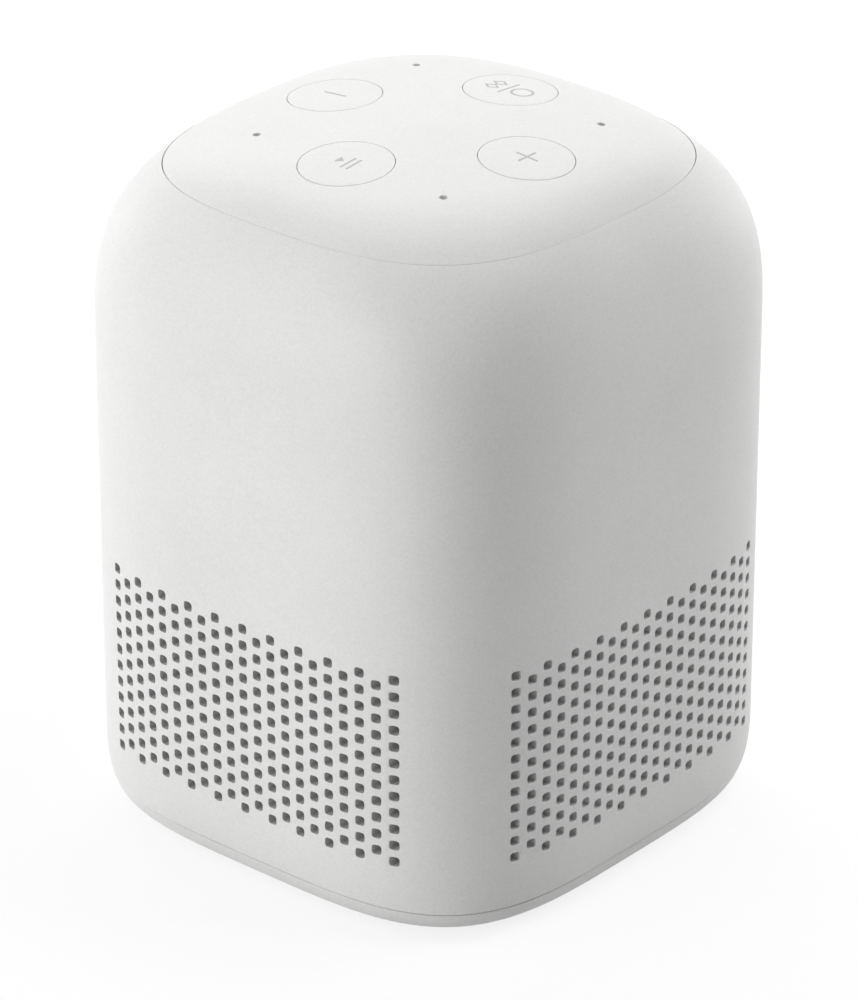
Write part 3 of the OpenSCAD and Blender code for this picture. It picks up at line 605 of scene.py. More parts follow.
def woven(name, dark, light, pitch):
    """A plain weave of threads that many millimetres apart."""
    material, tree, shader = new_finish(name)
    place = add_node(tree, "TexCoord").outputs["Object"]
    split = add_node(tree, "SeparateXYZ", {"Vector": place}).outputs
    along = add_node(tree, "Math", {0: split["X"], 1: split["Y"]}, "ADD").outputs["Value"]
    threads = []
    for source in (along, split["Z"]):
        wave = add_node(tree, "Math", {0: source, 1: 2 * math.pi / (pitch * MM)}, "MULTIPLY")
        sine = add_node(tree, "Math", {0: wave.outputs["Value"]}, "SINE")
        threads.append(sine.outputs["Value"])
    weave = add_node(tree, "Math", dict(enumerate(threads)), "MULTIPLY").outputs["Value"]
    value, from_low, to_low, to_high = 6, 7, 9, 10
    colour = tree.nodes.new("ShaderNodeMapRange")
    colour.data_type = "FLOAT_VECTOR"
    feed(tree, colour, {value: weave, from_low: (-1, -1, -1), to_low: dark, to_high: light})
    feed(tree, shader, {"Roughness": 0.95, "Base Color": colour.outputs["Vector"]})
    relief(tree, shader, weave, 0.6, 0.08)
    return material


cloth_weave = woven("grey_acoustic_cloth", (0.035, 0.035, 0.036), (0.11, 0.11, 0.112), 0.45)
cloth_x = np.linspace(-CLOTH_REACH, CLOTH_REACH, CLOTH_COLUMNS)
for node, quarter in (("front_cloth", 0), ("right_cloth", 1), ("left_cloth", 3)):
    strip = Skin()
    rings = []
    for z in np.linspace(CLOTH_LOW, CLOTH_HIGH, CLOTH_ROWS):
        w = min(CLOTH_W, skirt_w(z) - WALL - CLOTH_GAP)
        outside = np.stack([cloth_x, side_y(cloth_x, w)], axis=1)
        inside = outside[::-1] + (0, CLOTH_T)
        rings.append(quarter_turn(raised(np.concatenate([outside, inside]), z), quarter))
    rings = strip.chain(rings)
    for ring in (rings[0], rings[-1]):
        n = len(ring)
        strip.faces += [(ring[k], ring[k + 1], ring[n - 2 - k], ring[n - 1 - k]) for k in range(n // 2 - 1)]
    cloth = strip.piece("woven_" + node, "enclosure")
    cloth.data.materials.append(cloth_weave)
    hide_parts(node)

# Top cap: a separate white moulding 2 mm thick that carries on the crown's curve, with round holes
# for the four buttons and pin holes for the four microphones. Four hooks snap under the ledge.
CAP_EDGE = CAP_HALF - 0.1
CAP_ROUND = 0.16
CAP_SINK = 0.15
SINK_REACH = 2.0
CAP_T = 2.0
CAP_RIM_T = 1.6
RIM_Z = SEAT_Z + 0.1
BUTTON_R = 18.6
BUTTON_Z = top_z(BUTTON_R)
BUTTON_TILT = math.asin(BUTTON_R / CROWN_R)
BUTTON_HOLE_R = 7.23
BUTTON_HOLE_EDGE = 0.04
BUTTON_STEPS = 72
MIC_XY = 18.0
MIC_R = 0.6
MIC_EDGE = 0.06
MIC_BOSS_R = 3.0
MIC_BOSS_Z = top_z(MIC_XY * math.sqrt(2)) - 3.1
KEY_SCREW_XY = 22.3
KEY_BOSS_R = 2.3
KEY_BORE_R = 0.9
KEY_BORE_DEEP = 4.2
BORE_STEPS = 24
KEY_BOARD_Z = 101.6
HOOK_IN = CAP_HALF - LEDGE - 1.3
HOOK_UNDER = SEAT_Z - LEDGE_T - 0.1
HOOK_HALF = 3.0
HOOK_T = 1.2
HOOK_TIP = 1.5
HOOK_REACH = 2.1
HOOK_BARB = 1.2
HOOK_LEAD = 0.5
HOOK_SET_IN = 0.4
HOOK_TOP_T = 1.1
ROOT = 0.05
ROW_SHARE = 0.87
CLEAR_SHARE = 0.6
CAP_STEP = 1.0
UNDER_STEP = 2.2
SLOPE_STEP = 0.8
SLOPE_FINE = 30
SLOPE_END = 20
SLOPE_CLEAR = 0.35


def level(plan):
    """The half width of the body's plan at the level of the crown that each plan point lies on."""
    x, y = np.abs(plan[:, 0]), np.abs(plan[:, 1])
    low = np.full(len(x), 1e-6)
    high = np.full(len(x), HALF + 1)
    for _ in range(42):
        w = (low + high) / 2
        beyond = (x / w) ** plan_n(w) + (y / w) ** plan_n(w) > 1
        low = np.where(beyond, w, low)
        high = np.where(beyond, high, w)
    return low


def crown(plan):
    return top_z(level(plan))


def cap_top(plan):
    """The crown, but the cap's rim lies a little below the housing's lip."""
    return crown(plan) - CAP_SINK * np.clip(1 - (CAP_EDGE - level(plan)) / SINK_REACH, 0, 1) ** 2


def within(plan, loop):
    """Which plan points lie inside a loop."""
    x, y = plan[:, 0], plan[:, 1]
    inside = np.zeros(len(plan), dtype=bool)
    for (ax, ay), (bx, by) in zip(loop, np.roll(loop, -1, axis=0)):
        if ay != by:
            inside ^= ((ay > y) != (by > y)) & (x < (bx - ax) * (y - ay) / (by - ay) + ax)
    return inside


def clear_of(points, loop, gap):
    """Which points lie further than the gap from all those of a loop."""
    away = np.hypot(points[:, None, 0] - loop[None, :, 0], points[:, None, 1] - loop[None, :, 1])
    return away.min(axis=1) > gap


def spread(loop, step, clear):
    """Points every step inside a loop, which keep clear of its edge and of the loops in clear."""
    low, high = loop.min(axis=0), loop.max(axis=0)
    rows = np.arange(low[1], high[1], step * ROW_SHARE)
    columns = np.arange(low[0], high[0], step)
    grid = np.array([(x + (k % 2) * step / 2, y) for k, y in enumerate(rows) for x in columns])
    keep = within(grid, loop)
    for other in clear:
        keep &= clear_of(grid, other, step * CLEAR_SHARE)
    return grid[keep]


def tile(skin, loops, holes, marks, step, height, fill=None):
    """Triangles inside loops[0] and outside the loops numbered in holes; height gives the points' z.

    The triangles inside the loops numbered in marks take the second material, the print. It returns the
    rings of the loops.
    """
    fill = spread(loops[0], step, loops) if fill is None else fill
    plan = np.concatenate(list(loops) + [fill])
    edges = []
    starts = [int(start) for start in np.cumsum([0] + [len(loop) for loop in loops])]
    for start, loop in zip(starts, loops):
        n = len(loop)
        edges += [(start + k, start + (k + 1) % n) for k in range(n)]
    points, _, triangles, origins, _, _ = delaunay_2d_cdt([Vector(p) for p in plan], edges, [], 0, 1e-6)
    place = {o: k for k, origin in enumerate(origins) for o in origin}
    points = np.array([tuple(p) for p in points])
    middles = np.array([points[list(t)].mean(axis=0) for t in triangles])
    keep = within(middles, loops[0])
    for k in holes:
        keep &= ~within(middles, loops[k])
    ink = np.zeros(len(middles), dtype=bool)
    for k in marks:
        ink ^= within(middles, loops[k])
    used = sorted({v for k, t in enumerate(triangles) if keep[k] for v in t})
    number = dict(zip(used, skin.ring(raised(points[used], height(points[used])))))
    for k, t in enumerate(triangles):
        if keep[k]:
            if ink[k]:
                skin.inked_and_shaded.add(len(skin.faces))
            skin.faces.append(tuple(number[v] for v in t))
    return [[number[place[start + k]] for k in range(len(loop))] for start, loop in zip(starts, loops)]


def at_button(points, turn):
    """Points given square to the crown at a button, whose middle is at BUTTON_R at an angle turn."""
    tilt = Matrix.Rotation(BUTTON_TILT, 3, "Y")
    around_z = Matrix.Rotation(turn, 3, "Z")
    middle = np.array(around_z @ Vector((BUTTON_R, 0, 0))) + (0, 0, BUTTON_Z)
    return points @ np.array(around_z @ tilt).T + middle


def button_ring(r, turn, below=0.0, vertical=0.0, steps=BUTTON_STEPS):
    """A ring of radius r round a button's axis, below the crown along the axis or vertically."""
    flat = circle(r, steps=steps)
    depth = np.zeros(steps)
    for _ in range(6):
        points = at_button(raised(flat, depth), turn)
        depth = depth + (crown(points[:, :2]) - vertical - points[:, 2]) / math.cos(BUTTON_TILT)
    return at_button(raised(flat, depth - below), turn)


def four_circles(r, xy, steps):
    return [circle(r, sx * xy, sy * xy, steps) for sx, sy in corners]


BUTTON_TURNS = {
    "play_pause": -math.pi / 2,
    "volume_up": 0.0,
    "mode": math.pi / 2,
    "volume_down": math.pi,
}
turns = list(BUTTON_TURNS.values())
cap = Skin()
edge_tilt = math.atan((top_z(CAP_EDGE - CAP_ROUND) - top_z(CAP_EDGE)) / CAP_ROUND)
edge_turns = np.linspace(edge_tilt, math.pi / 2, 6)
edge_w = CAP_EDGE - CAP_ROUND * (1 - np.sin(edge_turns))
edge_plans = [plan_curve(w, plan_n(CAP_EDGE), outer_turns) for w in edge_w]
edge_z = cap_top(edge_plans[0]).mean() - CAP_ROUND * (math.cos(edge_tilt) - np.cos(edge_turns))
mouths = [button_ring(BUTTON_HOLE_R + BUTTON_HOLE_EDGE, turn) for turn in turns]
loops = [edge_plans[0]] + [m[:, :2] for m in mouths] + four_circles(MIC_R + MIC_EDGE, MIC_XY, BORE_STEPS)
slope_rings = []
w = edge_w[0] - SLOPE_STEP
while w > SLOPE_END:
    slope_rings.append(plan_curve(w, plan_n(w), outer_turns[:: 1 if w > SLOPE_FINE else 2]))
    w -= SLOPE_STEP
slope_rings = np.concatenate(slope_rings)
for other in loops[1:]:
    slope_rings = slope_rings[clear_of(slope_rings, other, SLOPE_CLEAR)]
middle_fill = spread(plan_curve(SLOPE_END, plan_n(SLOPE_END), outer_turns), CAP_STEP, loops)
top_fill = np.concatenate([slope_rings, middle_fill])
rings = tile(cap, loops, range(1, 9), [], CAP_STEP, cap_top, top_fill)

under_plan = plan_curve(CAP_EDGE - CAP_RIM_T, plan_n(CAP_EDGE), outer_turns)
under_buttons = [button_ring(BUTTON_HOLE_R, turn, vertical=CAP_T) for turn in turns]
pins = four_circles(MIC_R, MIC_XY, BORE_STEPS)
mic_bosses = four_circles(MIC_BOSS_R, MIC_XY, BORE_STEPS)
key_bores = four_circles(KEY_BORE_R, KEY_SCREW_XY, BORE_STEPS)
key_bosses = four_circles(KEY_BOSS_R, KEY_SCREW_XY, BORE_STEPS)
under_loops = [under_plan] + [m[:, :2] for m in under_buttons] + mic_bosses
under_rings = tile(cap, under_loops, range(1, 9), [], UNDER_STEP, lambda plan: crown(plan) - CAP_T)

cap.chain(
    [rings[0]]
    + stacked(*zip(edge_plans[1:], edge_z[1:]), (edge_plans[-1], RIM_Z), (under_plan, RIM_Z))
    + [under_rings[0]]
)
for k, turn in enumerate(turns):
    cap.chain([rings[1 + k], button_ring(BUTTON_HOLE_R, turn, below=BUTTON_HOLE_EDGE), under_rings[1 + k]])
for k, (pin, mic_boss, bore, boss) in enumerate(zip(pins, mic_bosses, key_bores, key_bosses)):
    mic_tube = stacked((pin, crown(pin) - MIC_EDGE), (pin, MIC_BOSS_Z), (mic_boss, MIC_BOSS_Z))
    cap.chain([rings[5 + k]] + mic_tube + [under_rings[5 + k]])
    cap.solid(
        stacked(
            (bore, KEY_BOARD_Z + KEY_BORE_DEEP),
            (bore, KEY_BOARD_Z),
            (boss, KEY_BOARD_Z),
            (boss, crown(boss) - CAP_T + ROOT),
        )
    )
hook_profile = (
    (HOOK_IN, HOOK_UNDER - HOOK_BARB),
    (HOOK_IN + HOOK_TIP, HOOK_UNDER - HOOK_BARB),
    (HOOK_IN + HOOK_REACH, HOOK_UNDER - HOOK_LEAD),
    (HOOK_IN + HOOK_REACH, HOOK_UNDER),
    (HOOK_IN + HOOK_T, HOOK_UNDER),
    (HOOK_IN + HOOK_T, RIM_Z),
    (CAP_EDGE - HOOK_SET_IN, RIM_Z),
    (CAP_EDGE - HOOK_SET_IN, RIM_Z + HOOK_TOP_T),
    (HOOK_IN, RIM_Z + HOOK_TOP_T),
)
for q in range(4):
    ends = [np.array([(x, y, z) for x, z in hook_profile]) for y in (-HOOK_HALF, HOOK_HALF)]
    cap.solid([quarter_turn(end, q) for end in ends])
top_cap = cap.piece("top_cap_shell", "enclosure")
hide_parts("top_cap")
top_cap.data.materials.append(satin_plastic("white_satin_cap", 0.86))

# Buttons: four round white caps, flush with the crown, each a cup with a flange under the cap and
# a stem down to its switch. The symbols are printed flat on them in light grey.
BUTTON_CAP_R = 7.12
BUTTON_EDGE = 0.05
FLANGE_R = 8.15
FLANGE_Z = -2.4
FLANGE_T = 0.8
CUP_R = 5.7
CUP_Z = -1.5
STEM_R = 2.0
STEM_END = -5.1
SYMBOL_SHIFT = (-0.12, 0.22)
SYMBOL_STEP = 0.9


def bar(x0, y0, x1, y1, width):
    """The outline of a printed stroke with round ends."""
    along = math.atan2(y1 - y0, x1 - x0)
    points = []
    for x, y, start in ((x1, y1, along - math.pi / 2), (x0, y0, along + math.pi / 2)):
        for k in range(7):
            a = start + k * math.pi / 6
            points.append((x + width / 2 * math.cos(a), y + width / 2 * math.sin(a)))
    return np.array(points)


def plus(reach, width):
    w = width / 2
    arm = raised(np.array([(reach, -w), (reach, w), (w, w)]), 0)
    return np.concatenate([quarter_turn(arm, q) for q in range(4)])[:, :2]


def lozenge(x, y, across, up):
    return np.array([(x, y - up), (x + across, y), (x, y + up), (x - across, y)])


SYMBOLS = {
    "play_pause": [
        np.array([(-1.75, -0.88), (-0.5, 0.05), (-1.75, 0.98)]),
        bar(0.3, -1.6, 0.3, 1.6, 0.4),
        bar(1.4, -1.6, 1.4, 1.6, 0.4),
    ],
    "volume_up": [plus(2.0, 0.42)],
    "volume_down": [bar(-1.95, 0, 1.95, 0, 0.44)],
    "mode": [
        circle(1.84, 2.25, 0, 40),
        circle(1.42, 2.25, 0, 40),
        bar(-0.4, -2.4, -0.4, 2.4, 0.4),
        lozenge(-2.8, 1.0, 1.45, 1.05),
        lozenge(-2.8, 1.0, 0.88, 0.6),
        lozenge(-2.8, -1.0, 1.45, 1.05),
        lozenge(-2.8, -1.0, 0.88, 0.6),
    ],
}

button_white = satin_plastic("white_satin_buttons", 0.86)
symbol_ink = satin_plastic("grey_symbol_ink", 0.5, grain=0.05)
for name, turn in BUTTON_TURNS.items():
    key = Skin()
    face = button_ring(BUTTON_CAP_R - BUTTON_EDGE, turn)[:, :2]
    middle = at_button(np.zeros((1, 3)), turn)[0, :2]
    symbols = [loop + middle + SYMBOL_SHIFT for loop in SYMBOLS[name]]
    rings = tile(key, [face] + symbols, [], range(1, 1 + len(symbols)), SYMBOL_STEP, crown)
    chain = [rings[0]]
    for a in (math.pi / 6, math.pi / 3, math.pi / 2):
        r = BUTTON_CAP_R - BUTTON_EDGE * (1 - math.sin(a))
        chain.append(button_ring(r, turn, below=BUTTON_EDGE * (1 - math.cos(a))))
    for r, z in (
        (BUTTON_CAP_R, FLANGE_Z),
        (FLANGE_R, FLANGE_Z),
        (FLANGE_R, FLANGE_Z - FLANGE_T),
        (CUP_R, FLANGE_Z - FLANGE_T),
        (CUP_R, CUP_Z),
        (STEM_R, CUP_Z),
        (STEM_R, STEM_END),
    ):
        chain.append(at_button(raised(circle(r, steps=BUTTON_STEPS), z), turn))
    key.lid(key.chain(chain)[-1])
    button = key.piece("button_cap_" + name, name + "_key")
    button.data.materials.append(button_white)
    button.data.materials.append(symbol_ink)
    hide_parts("button_" + name)

# Base plate: the white bottom moulding, whose rolled rim meets the housing at the parting line. A
# lip inside locates the housing, and its floor has a groove for the foot and four screw wells.
BASE_Z = 0.8
FLOOR_Z = 3.2
LIP_W = skirt_w(SEAM_Z) - WALL - 0.1
LIP_T = 1.1
LIP_TOP = SEAM_Z + 2.75
RIM_STEPS = 14
FLOOR_STEP = 3.0
FOOT_W = 32.3
FOOT_BAND = 4.0
FOOT_TOP = 1.6
FOOT_GAP = 0.1
WELL_R = 2.3
WELL_Z = 2.8
WELL_BORE_R = 1.3
WELL_STEPS = 36
POST_STEPS = 32
BOX_SCREW = (35.2, 13.0)
BOX_POST = (2.6, 5.2, 1.05, 3.2)
JACK_SCREW = (17.4, 28.4)
JACK_BOARD_Z = 8.0
JACK_POST = (2.4, JACK_BOARD_Z, 0.9, 4.4)

base = Skin()
rim_angles = np.linspace(0, math.acos((SKIRT_Z - SEAM_Z) / SKIRT_H), RIM_STEPS)
rim_z = SKIRT_Z - SKIRT_H * np.cos(rim_angles)
rim = [plan_curve(skirt_w(z), SIDE_N, outer_turns) for z in rim_z]
groove = [plan_curve(w, SIDE_N, outer_turns) for w in (FOOT_W + FOOT_GAP, FOOT_W - FOOT_BAND - FOOT_GAP)]
wells = four_circles(WELL_R, POST_XY, WELL_STEPS)
bores = four_circles(WELL_BORE_R, POST_XY, WELL_STEPS)
posts = four_circles(POST_R, POST_XY, WELL_STEPS)
outer_floor = tile(base, [rim[0], groove[0]] + wells, range(1, 6), [], FLOOR_STEP, lambda plan: BASE_Z)
inner_floor = tile(base, [groove[1]], [], [], FLOOR_STEP, lambda plan: BASE_Z)
base.chain([outer_floor[1]] + stacked((groove[0], FOOT_TOP), (groove[1], FOOT_TOP)) + [inner_floor[0]])
floor_edge = plan_curve(LIP_W - LIP_T, SIDE_N, outer_turns)
top_floor = tile(base, [floor_edge] + posts, range(1, 5), [], FLOOR_STEP, lambda plan: FLOOR_Z)
for k, (well, bore, post) in enumerate(zip(wells, bores, posts)):
    tube = stacked((well, WELL_Z), (bore, WELL_Z), (bore, POST_LOW), (post, POST_LOW))
    base.chain([outer_floor[2 + k]] + tube + [top_floor[1 + k]])
lip = plan_curve(LIP_W, SIDE_N, outer_turns)
lip_section = stacked(
    (plan_curve(skirt_w(SEAM_Z - EDGE), SIDE_N, outer_turns), SEAM_Z - EDGE),
    (plan_curve(skirt_w(SEAM_Z) - EDGE, SIDE_N, outer_turns), SEAM_Z),
    (lip, SEAM_Z),
    (lip, LIP_TOP),
    (floor_edge, LIP_TOP),
)
base.chain([outer_floor[0]] + stacked(*zip(rim[1:-1], rim_z[1:-1])) + lip_section + [top_floor[0]])
for sx, sy in corners:
    screw_posts = [(BOX_SCREW, BOX_POST)]
    if sy > 0:
        screw_posts.append((JACK_SCREW, JACK_POST))
    for (x, y), (r, z, bore_r, deep) in screw_posts:
        outside = circle(r, sx * x, sy * y, POST_STEPS)
        bore = circle(bore_r, sx * x, sy * y, POST_STEPS)
        base.solid(stacked((bore, z - deep), (bore, z), (outside, z), (outside, FLOOR_Z - ROOT)))
base_plate = base.piece("base_plate_shell", "enclosure")
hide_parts("base_plate")
base_plate.data.materials.append(satin_plastic("white_satin_base", 0.84))

# Foot ring: a grey rubber band of the same plan as the base, pressed into its groove. It stands
# 0.8 mm proud, and its lower edges are rounded.
FOOT_ROUND = 0.35

foot = Skin()
foot_profile = []
for edge, side in ((FOOT_W, -1), (FOOT_W - FOOT_BAND, 1)):
    a = np.linspace(0, math.pi / 2, 5)
    rounding = np.stack([edge + side * FOOT_ROUND * (1 - np.cos(a)), FOOT_ROUND * (1 - np.sin(a))], axis=1)
    foot_profile += list(rounding if side < 0 else rounding[::-1])
foot_profile += [(FOOT_W - FOOT_BAND, FOOT_TOP), (FOOT_W, FOOT_TOP)]
foot_rings = foot.chain([raised(plan_curve(w, SIDE_N, outer_turns), z) for w, z in foot_profile])
foot.band(foot_rings[-1], foot_rings[0])
foot_ring = foot.piece("rubber_foot_ring", "enclosure")
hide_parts("foot_ring")


def grained(name, low, high, scale, roughness, depth, metallic=0.0, stretch=(1, 1, 1)):
    """A surface whose colour wanders between two shades, with relief of the same grain."""
    material, tree, shader = new_finish(name)
    shader.inputs["Metallic"].default_value = metallic
    place = add_node(tree, "TexCoord").outputs["Object"]
    fit = add_node(tree, "Mapping", {"Vector": place, "Scale": stretch}).outputs["Vector"]
    noise = add_node(tree, "TexNoise", {"Vector": fit, "Scale": scale, "Detail": 4.0}).outputs["Fac"]
    two_tone(tree, shader, noise, low, high, 0.32)
    patchy_polish(tree, shader, noise, roughness, 0.07)
    relief(tree, shader, noise, 0.35, depth)
    return material


foot_rubber = grained("grey_foot_rubber", (0.1, 0.1, 0.1), (0.15, 0.15, 0.148), 900, 0.82, 0.06)
foot_ring.data.materials.append(foot_rubber)

# Screws: zinc-plated self-tapping screws with pan heads, cross recesses and coarse threads. Each
# group holds one joint: housing to base, boards, box, lid and driver. A screw's size is the radius
# of its thread, the length under its head, and the head's radius and height.
SCREW_PITCH = 0.9
THREAD_DEEP = 0.22
THREAD_STEPS = 32
POINT_LENGTH = 1.2
BOARD_T = 1.6
BOX_FOOT_TOP = 7.6
LID_SCREW = (27.5, 22.8)
LID_SCREW_Z = (10.7, 76.5)
DRIVER_SCREW = 15.486
DRIVER_SEAT = -34.5
MAIN_SCREW = (24.0, 15.0)
MAIN_BOARD_TOP = 88.6


def four_seats(x, y, z, way):
    return [((sx * x, sy * y, z), way) for sx, sy in corners]


SCREW_GROUPS = {
    "base_screws": ((1.1, 10.6, 2.1, 1.4), four_seats(POST_XY, POST_XY, WELL_Z, "up")),
    "key_board_screws": (
        (0.95, 5.6, 1.9, 1.3),
        four_seats(KEY_SCREW_XY, KEY_SCREW_XY, KEY_BOARD_Z - BOARD_T, "up"),
    ),
    "lid_screws": (
        (1.1, 8.8, 2.0, 1.2),
        [((sx * LID_SCREW[0], LID_SCREW[1], z), "front") for sx in (-1, 1) for z in LID_SCREW_Z],
    ),
    "box_screws": ((1.1, 5.4, 2.0, 1.3), four_seats(*BOX_SCREW, BOX_FOOT_TOP, "down")),
    "driver_screws": (
        (1.1, 7.5, 2.0, 1.3),
        [((sx * DRIVER_SCREW, DRIVER_SEAT, GRILLE_Z + sz * DRIVER_SCREW), "back") for sx, sz in corners],
    ),
    "main_board_screws": ((0.95, 5.2, 1.9, 1.3), four_seats(*MAIN_SCREW, MAIN_BOARD_TOP, "down")),
    "jack_board_screws": (
        (0.95, 5.6, 1.9, 1.3),
        [((sx * JACK_SCREW[0], JACK_SCREW[1], JACK_BOARD_Z + BOARD_T), "down") for sx in (-1, 1)],
    ),
}
SHANK_AXES = {
    "up": Matrix.Identity(3),
    "down": Matrix.Rotation(math.pi, 3, "X"),
    "front": Matrix.Rotation(math.pi / 2, 3, "X"),
    "back": Matrix.Rotation(-math.pi / 2, 3, "X"),
}


def add_screw(skin, seat, way, r, length, head_r, head_h):
    """A screw whose head rests on the seat, with its shank pointing that way."""
    head_profile = [
        (head_r - 0.12, 0),
        (head_r, 0.12),
        (head_r, 0.45 * head_h),
        (head_r - 0.1, 0.7 * head_h),
        (head_r - 0.35, 0.9 * head_h),
        (head_r - 0.7, head_h),
    ]
    head_rings = [circle(a, steps=THREAD_STEPS) for a, _ in head_profile]
    arm = np.array([(0.14, -0.14, 0), (0.55, -0.11, 0), (0.55, 0.11, 0)]) * (head_r, head_r, 1)
    cross = np.concatenate([quarter_turn(arm, q) for q in range(4)])[:, :2]
    screw = Skin()
    rings = tile(screw, [head_rings[-1], cross], [1], [], 0.6, lambda plan: -head_h)
    recess = screw.chain([rings[1], raised(cross * 0.8, -0.45 * head_h)])
    screw.lid(recess[-1])
    sides = [raised(ring, -b) for ring, (_, b) in zip(head_rings, head_profile)]
    rings = screw.chain([rings[0]] + sides[-2::-1])
    core = r - THREAD_DEEP
    thread = [raised(circle(core, steps=THREAD_STEPS), 0.0)]
    angles = np.arange(THREAD_STEPS) * 2 * math.pi / THREAD_STEPS
    rows = int(length / (SCREW_PITCH / 4))
    for k in range(1, rows + 1):
        z = k * length / rows
        wave = np.mod(z / SCREW_PITCH - angles / (2 * math.pi), 1)
        crest = np.clip(1 - np.abs(wave - 0.5) * 4, 0, 1)
        taper = min(1.0, (length - z) / POINT_LENGTH)
        radius = core * (0.75 + 0.25 * taper) + (r - core) * crest * taper
        thread.append(raised(np.stack([radius * np.cos(angles), radius * np.sin(angles)], axis=1), z))
    screw.lid(screw.chain([rings[-1]] + thread)[-1])
    start = skin.count
    skin.ring(np.concatenate(screw.blocks) @ np.array(SHANK_AXES[way]).T + seat)
    skin.faces += [tuple(start + v for v in f) for f in screw.faces]


zinc = grained("zinc_plated_steel", (0.5, 0.51, 0.52), (0.66, 0.66, 0.65), 700, 0.34, 0.02, metallic=1.0)
for node, (size, seats) in SCREW_GROUPS.items():
    skin = Skin()
    for seat, way in seats:
        add_screw(skin, seat, way, *size)
    group = skin.piece("threaded_" + node, "enclosure", sharp=50)
    group.data.materials.append(zinc)
    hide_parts(node)


# Plastic and rubber parts inside, which keep the CAD's own form: black plungers, switches, socket
# bodies, processor and dust cap, the dark moulded speaker box, and soft gaskets and a grommet.
def finish_nodes(material, *nodes):
    for node in nodes:
        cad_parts[node].data.materials.clear()
        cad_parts[node].data.materials.append(material)


finish_nodes(
    grained("black_plastic", (0.018, 0.018, 0.019), (0.03, 0.03, 0.031), 500, 0.5, 0.03),
    "plunger_play_pause", "plunger_volume_up", "plunger_mode", "plunger_volume_down",
    "switch_bodies", "power_inlet", "audio_socket", "driver_dust_cap", "processor",
)
finish_nodes(
    grained("dark_box_plastic", (0.03, 0.031, 0.033), (0.05, 0.051, 0.053), 350, 0.62, 0.05),
    "speaker_box", "speaker_box_lid",
)
finish_nodes(
    grained("black_rubber", (0.014, 0.014, 0.014), (0.028, 0.028, 0.028), 420, 0.72, 0.05),
    "microphone_gaskets", "speaker_box_gasket", "lead_grommet",
)

# Circuit boards: three green glass-fibre boards, with the faint squares of a copper ground grid
# under the solder mask. They carry tinned steel cans and ivory connectors, with grey cables.
mask_green, tree, shader = new_finish("green_circuit_board")
grid = {
    "Vector": add_node(tree, "TexCoord").outputs["Object"],
    "Scale": 180.0,
    "Mortar Size": 0.03,
    "Color1": (0.012, 0.09, 0.035, 1),
    "Color2": (0.016, 0.11, 0.045, 1),
    "Mortar": (0.02, 0.16, 0.06, 1),
}
grid = add_node(tree, "TexBrick", grid)
feed(tree, shader, {"Roughness": 0.38, "Base Color": grid.outputs["Color"]})
finish_nodes(mask_green, "key_board", "main_board", "jack_board")
finish_nodes(
    grained("tinned_shield_steel", (0.62, 0.62, 0.6), (0.74, 0.74, 0.72), 260, 0.3, 0.02, metallic=1.0),
    "microphones", "radio_module", "board_capacitors",
)
finish_nodes(
    grained("ivory_connector_plastic", (0.66, 0.62, 0.5), (0.74, 0.7, 0.58), 300, 0.5, 0.02),
    "board_connectors",
)
finish_nodes(
    grained("cable_jacket", (0.3, 0.3, 0.31), (0.42, 0.42, 0.43), 900, 0.55, 0.03, stretch=(6, 1, 1)),
    "key_ribbon", "speaker_leads", "power_harness",
)

# Driver and radiators: a black-painted steel basket and frames, zinc-plated magnet plates round a
# grey ferrite ring, a copper coil, and grey pulp-paper cones and plates.
paint_low, paint_high = (0.02, 0.02, 0.021), (0.034, 0.034, 0.035)
finish_nodes(
    grained("painted_basket_steel", paint_low, paint_high, 600, 0.44, 0.03, metallic=0.3),
    "driver_basket", "left_radiator_frame", "right_radiator_frame",
)
finish_nodes(
    grained("plated_magnet_steel", (0.52, 0.5, 0.42), (0.66, 0.63, 0.55), 300, 0.32, 0.02, metallic=1.0),
    "driver_top_plate", "driver_yoke",
)
finish_nodes(
    grained("sintered_ferrite", (0.04, 0.04, 0.043), (0.075, 0.075, 0.08), 800, 0.7, 0.05),
    "driver_magnet",
)
copper_low, copper_high = (0.5, 0.16, 0.05), (0.68, 0.26, 0.09)
finish_nodes(
    grained("enamelled_copper", copper_low, copper_high, 1600, 0.3, 0.05, metallic=1.0, stretch=(1, 9, 1)),
    "driver_voice_coil",
)
finish_nodes(
    grained("pulp_paper", (0.05, 0.05, 0.052), (0.11, 0.11, 0.112), 1500, 0.9, 0.1),
    "driver_cone", "left_radiator_plate", "right_radiator_plate",
)

# Rolls and spider: a half roll of black rubber seals the driver's cone and each radiator's plate to
# its frame, and a corrugated disc of doped cloth centres the voice coil. Each is glued to a moving
# piece inside and to a fixed one outside, and is built here as narrow sectors.
SECTORS = 16
SECTOR_STEPS = 4
RUBBER_T = 0.4
ROLL_Z = 1.5
DRIVER_ROLL = (16.4, 18.8, 0.7, 0.9)
DRIVER_BEND = (16.35, 18.2)
RADIATOR_ROLL = (12.575, 15.2, 0.8, 1.8)
RADIATOR_BEND = (12.55, 15.0)
SPIDER_BEND = (7.3, 13.6)
SPIDER_T = 0.3
SPIDER_RISE = 0.4
SPIDER_WAVE = 0.35
SPIDER_LAND = 0.2
SPIDER_Z = -7.9
SPIDER_IN = 8.3
SPIDER_WAVY = 13.7
SPIDER_OUT = 14.6
BOX_FACE = 33.0
RADIATOR_Y = -0.45
FRONT = np.array([0.0, -1.0, 0.0])
RIGHT = np.array([1.0, 0.0, 0.0])


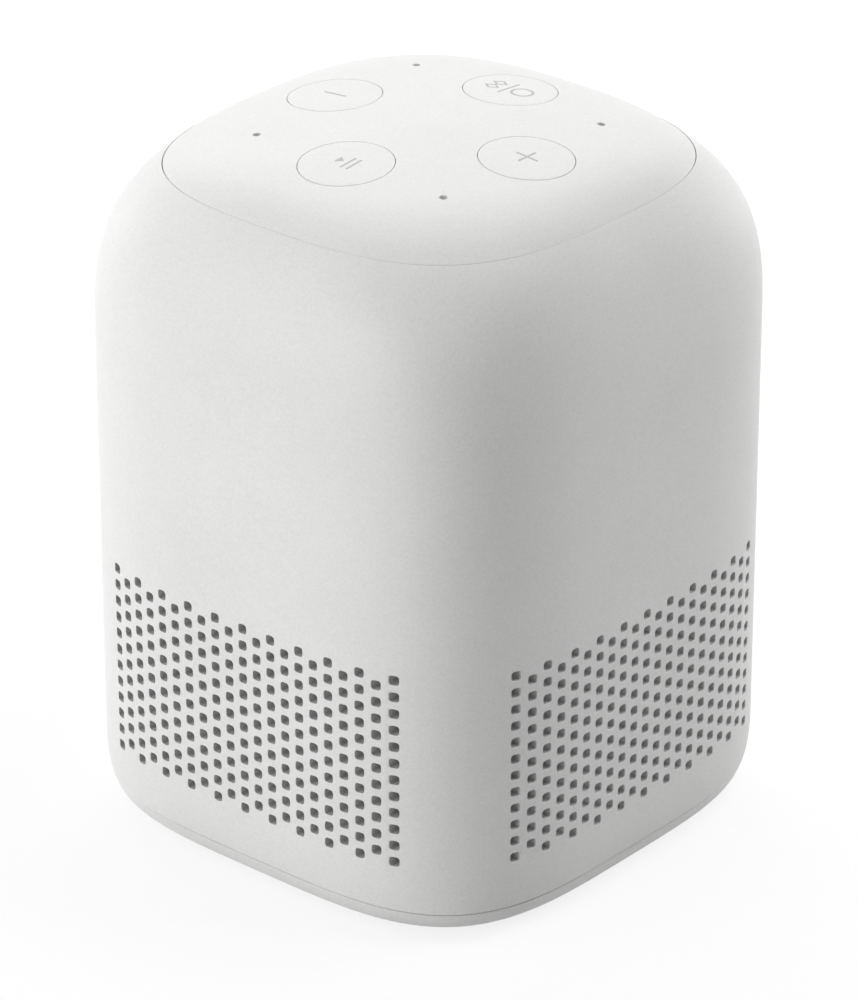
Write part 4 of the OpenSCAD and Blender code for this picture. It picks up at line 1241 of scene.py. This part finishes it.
def half_roll(r_in, r_out, land_in, land_out):
    """The radius and height of each point round the section of a roll, between its flat lands."""
    middle = (r_in + r_out) / 2
    big = (r_out - r_in) / 2
    small = big - RUBBER_T
    top = ROLL_Z + RUBBER_T
    turn = np.linspace(math.pi, 0, 15)
    back = turn[::-1]
    return np.concatenate(
        [
            [(r_in - land_in, ROLL_Z), (r_in - land_in, top)],
            np.stack([middle + big * np.cos(turn), top + big * np.sin(turn)], axis=1),
            [(r_out + land_out, top), (r_out + land_out, ROLL_Z), (middle + small, ROLL_Z)],
            np.stack([middle + small * np.cos(back), top + small * np.sin(back)], axis=1),
            [(middle - small, ROLL_Z)],
        ]
    )


def corrugated():
    """The radius and height of each point round the spider's section."""
    r = np.linspace(SPIDER_IN, SPIDER_WAVY - SPIDER_LAND, 40)
    wave = SPIDER_Z + SPIDER_WAVE * np.sin(6 * math.pi * (r - SPIDER_IN) / (SPIDER_WAVY - SPIDER_IN))
    return np.concatenate(
        [
            np.stack([r, wave + (SPIDER_RISE + SPIDER_T)], axis=1),
            [(SPIDER_WAVY + SPIDER_LAND, SPIDER_Z + SPIDER_T), (SPIDER_OUT, SPIDER_Z + SPIDER_T)],
            [(SPIDER_OUT, SPIDER_Z), (SPIDER_WAVY, SPIDER_Z)],
            np.stack([r, wave + SPIDER_RISE], axis=1)[::-1],
        ]
    )


def bending_ring(node, section, centre, outward, across, body, bend_in, bend_out, material, slot):
    """Sectors of a ring round centre, each a piece of its own in the given material.

    body, bend_in, bend_out and slot are not used.
    """
    upward = np.array([0.0, 0.0, 1.0])
    half = math.pi / SECTORS
    for k in range(SECTORS):
        middle = 2 * k * half
        sector = Skin()
        loops = []
        for turn in np.linspace(middle - half, middle + half, SECTOR_STEPS + 1):
            spoke = math.cos(turn) * across + math.sin(turn) * upward
            loops.append(centre + section[:, :1] * spoke + section[:, 1:] * outward)
        sector.solid(loops)
        piece = sector.piece(f"{node}_sector_{k + 1}", sharp=50)
        piece.data.materials.append(material)
        spoke = math.cos(middle) * across + math.sin(middle) * upward
        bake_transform(piece)
        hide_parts(node)


roll_rubber = grained("roll_rubber", (0.014, 0.014, 0.014), (0.028, 0.028, 0.028), 420, 0.72, 0.05)
spider_cloth = woven("doped_spider_cloth", (0.3, 0.19, 0.06), (0.6, 0.41, 0.16), 0.35)
driver_middle = FRONT * BOX_FACE + (0, 0, GRILLE_Z)
bending_ring(
    "driver_surround", half_roll(*DRIVER_ROLL), driver_middle, FRONT, RIGHT, "driver_motor_cone",
    *DRIVER_BEND, roll_rubber, "rubber",
)
for node, outward, body in (
    ("left_radiator_surround", -RIGHT, "left_radiator"),
    ("right_radiator_surround", RIGHT, "right_radiator"),
):
    radiator_middle = outward * BOX_FACE + (0, RADIATOR_Y, GRILLE_Z)
    bending_ring(
        node, half_roll(*RADIATOR_ROLL), radiator_middle, outward, FRONT, body,
        *RADIATOR_BEND, roll_rubber, "rubber",
    )
bending_ring(
    "driver_spider", corrugated(), driver_middle, FRONT, RIGHT, "driver_motor_cone",
    *SPIDER_BEND, spider_cloth, "spider_cloth",
)
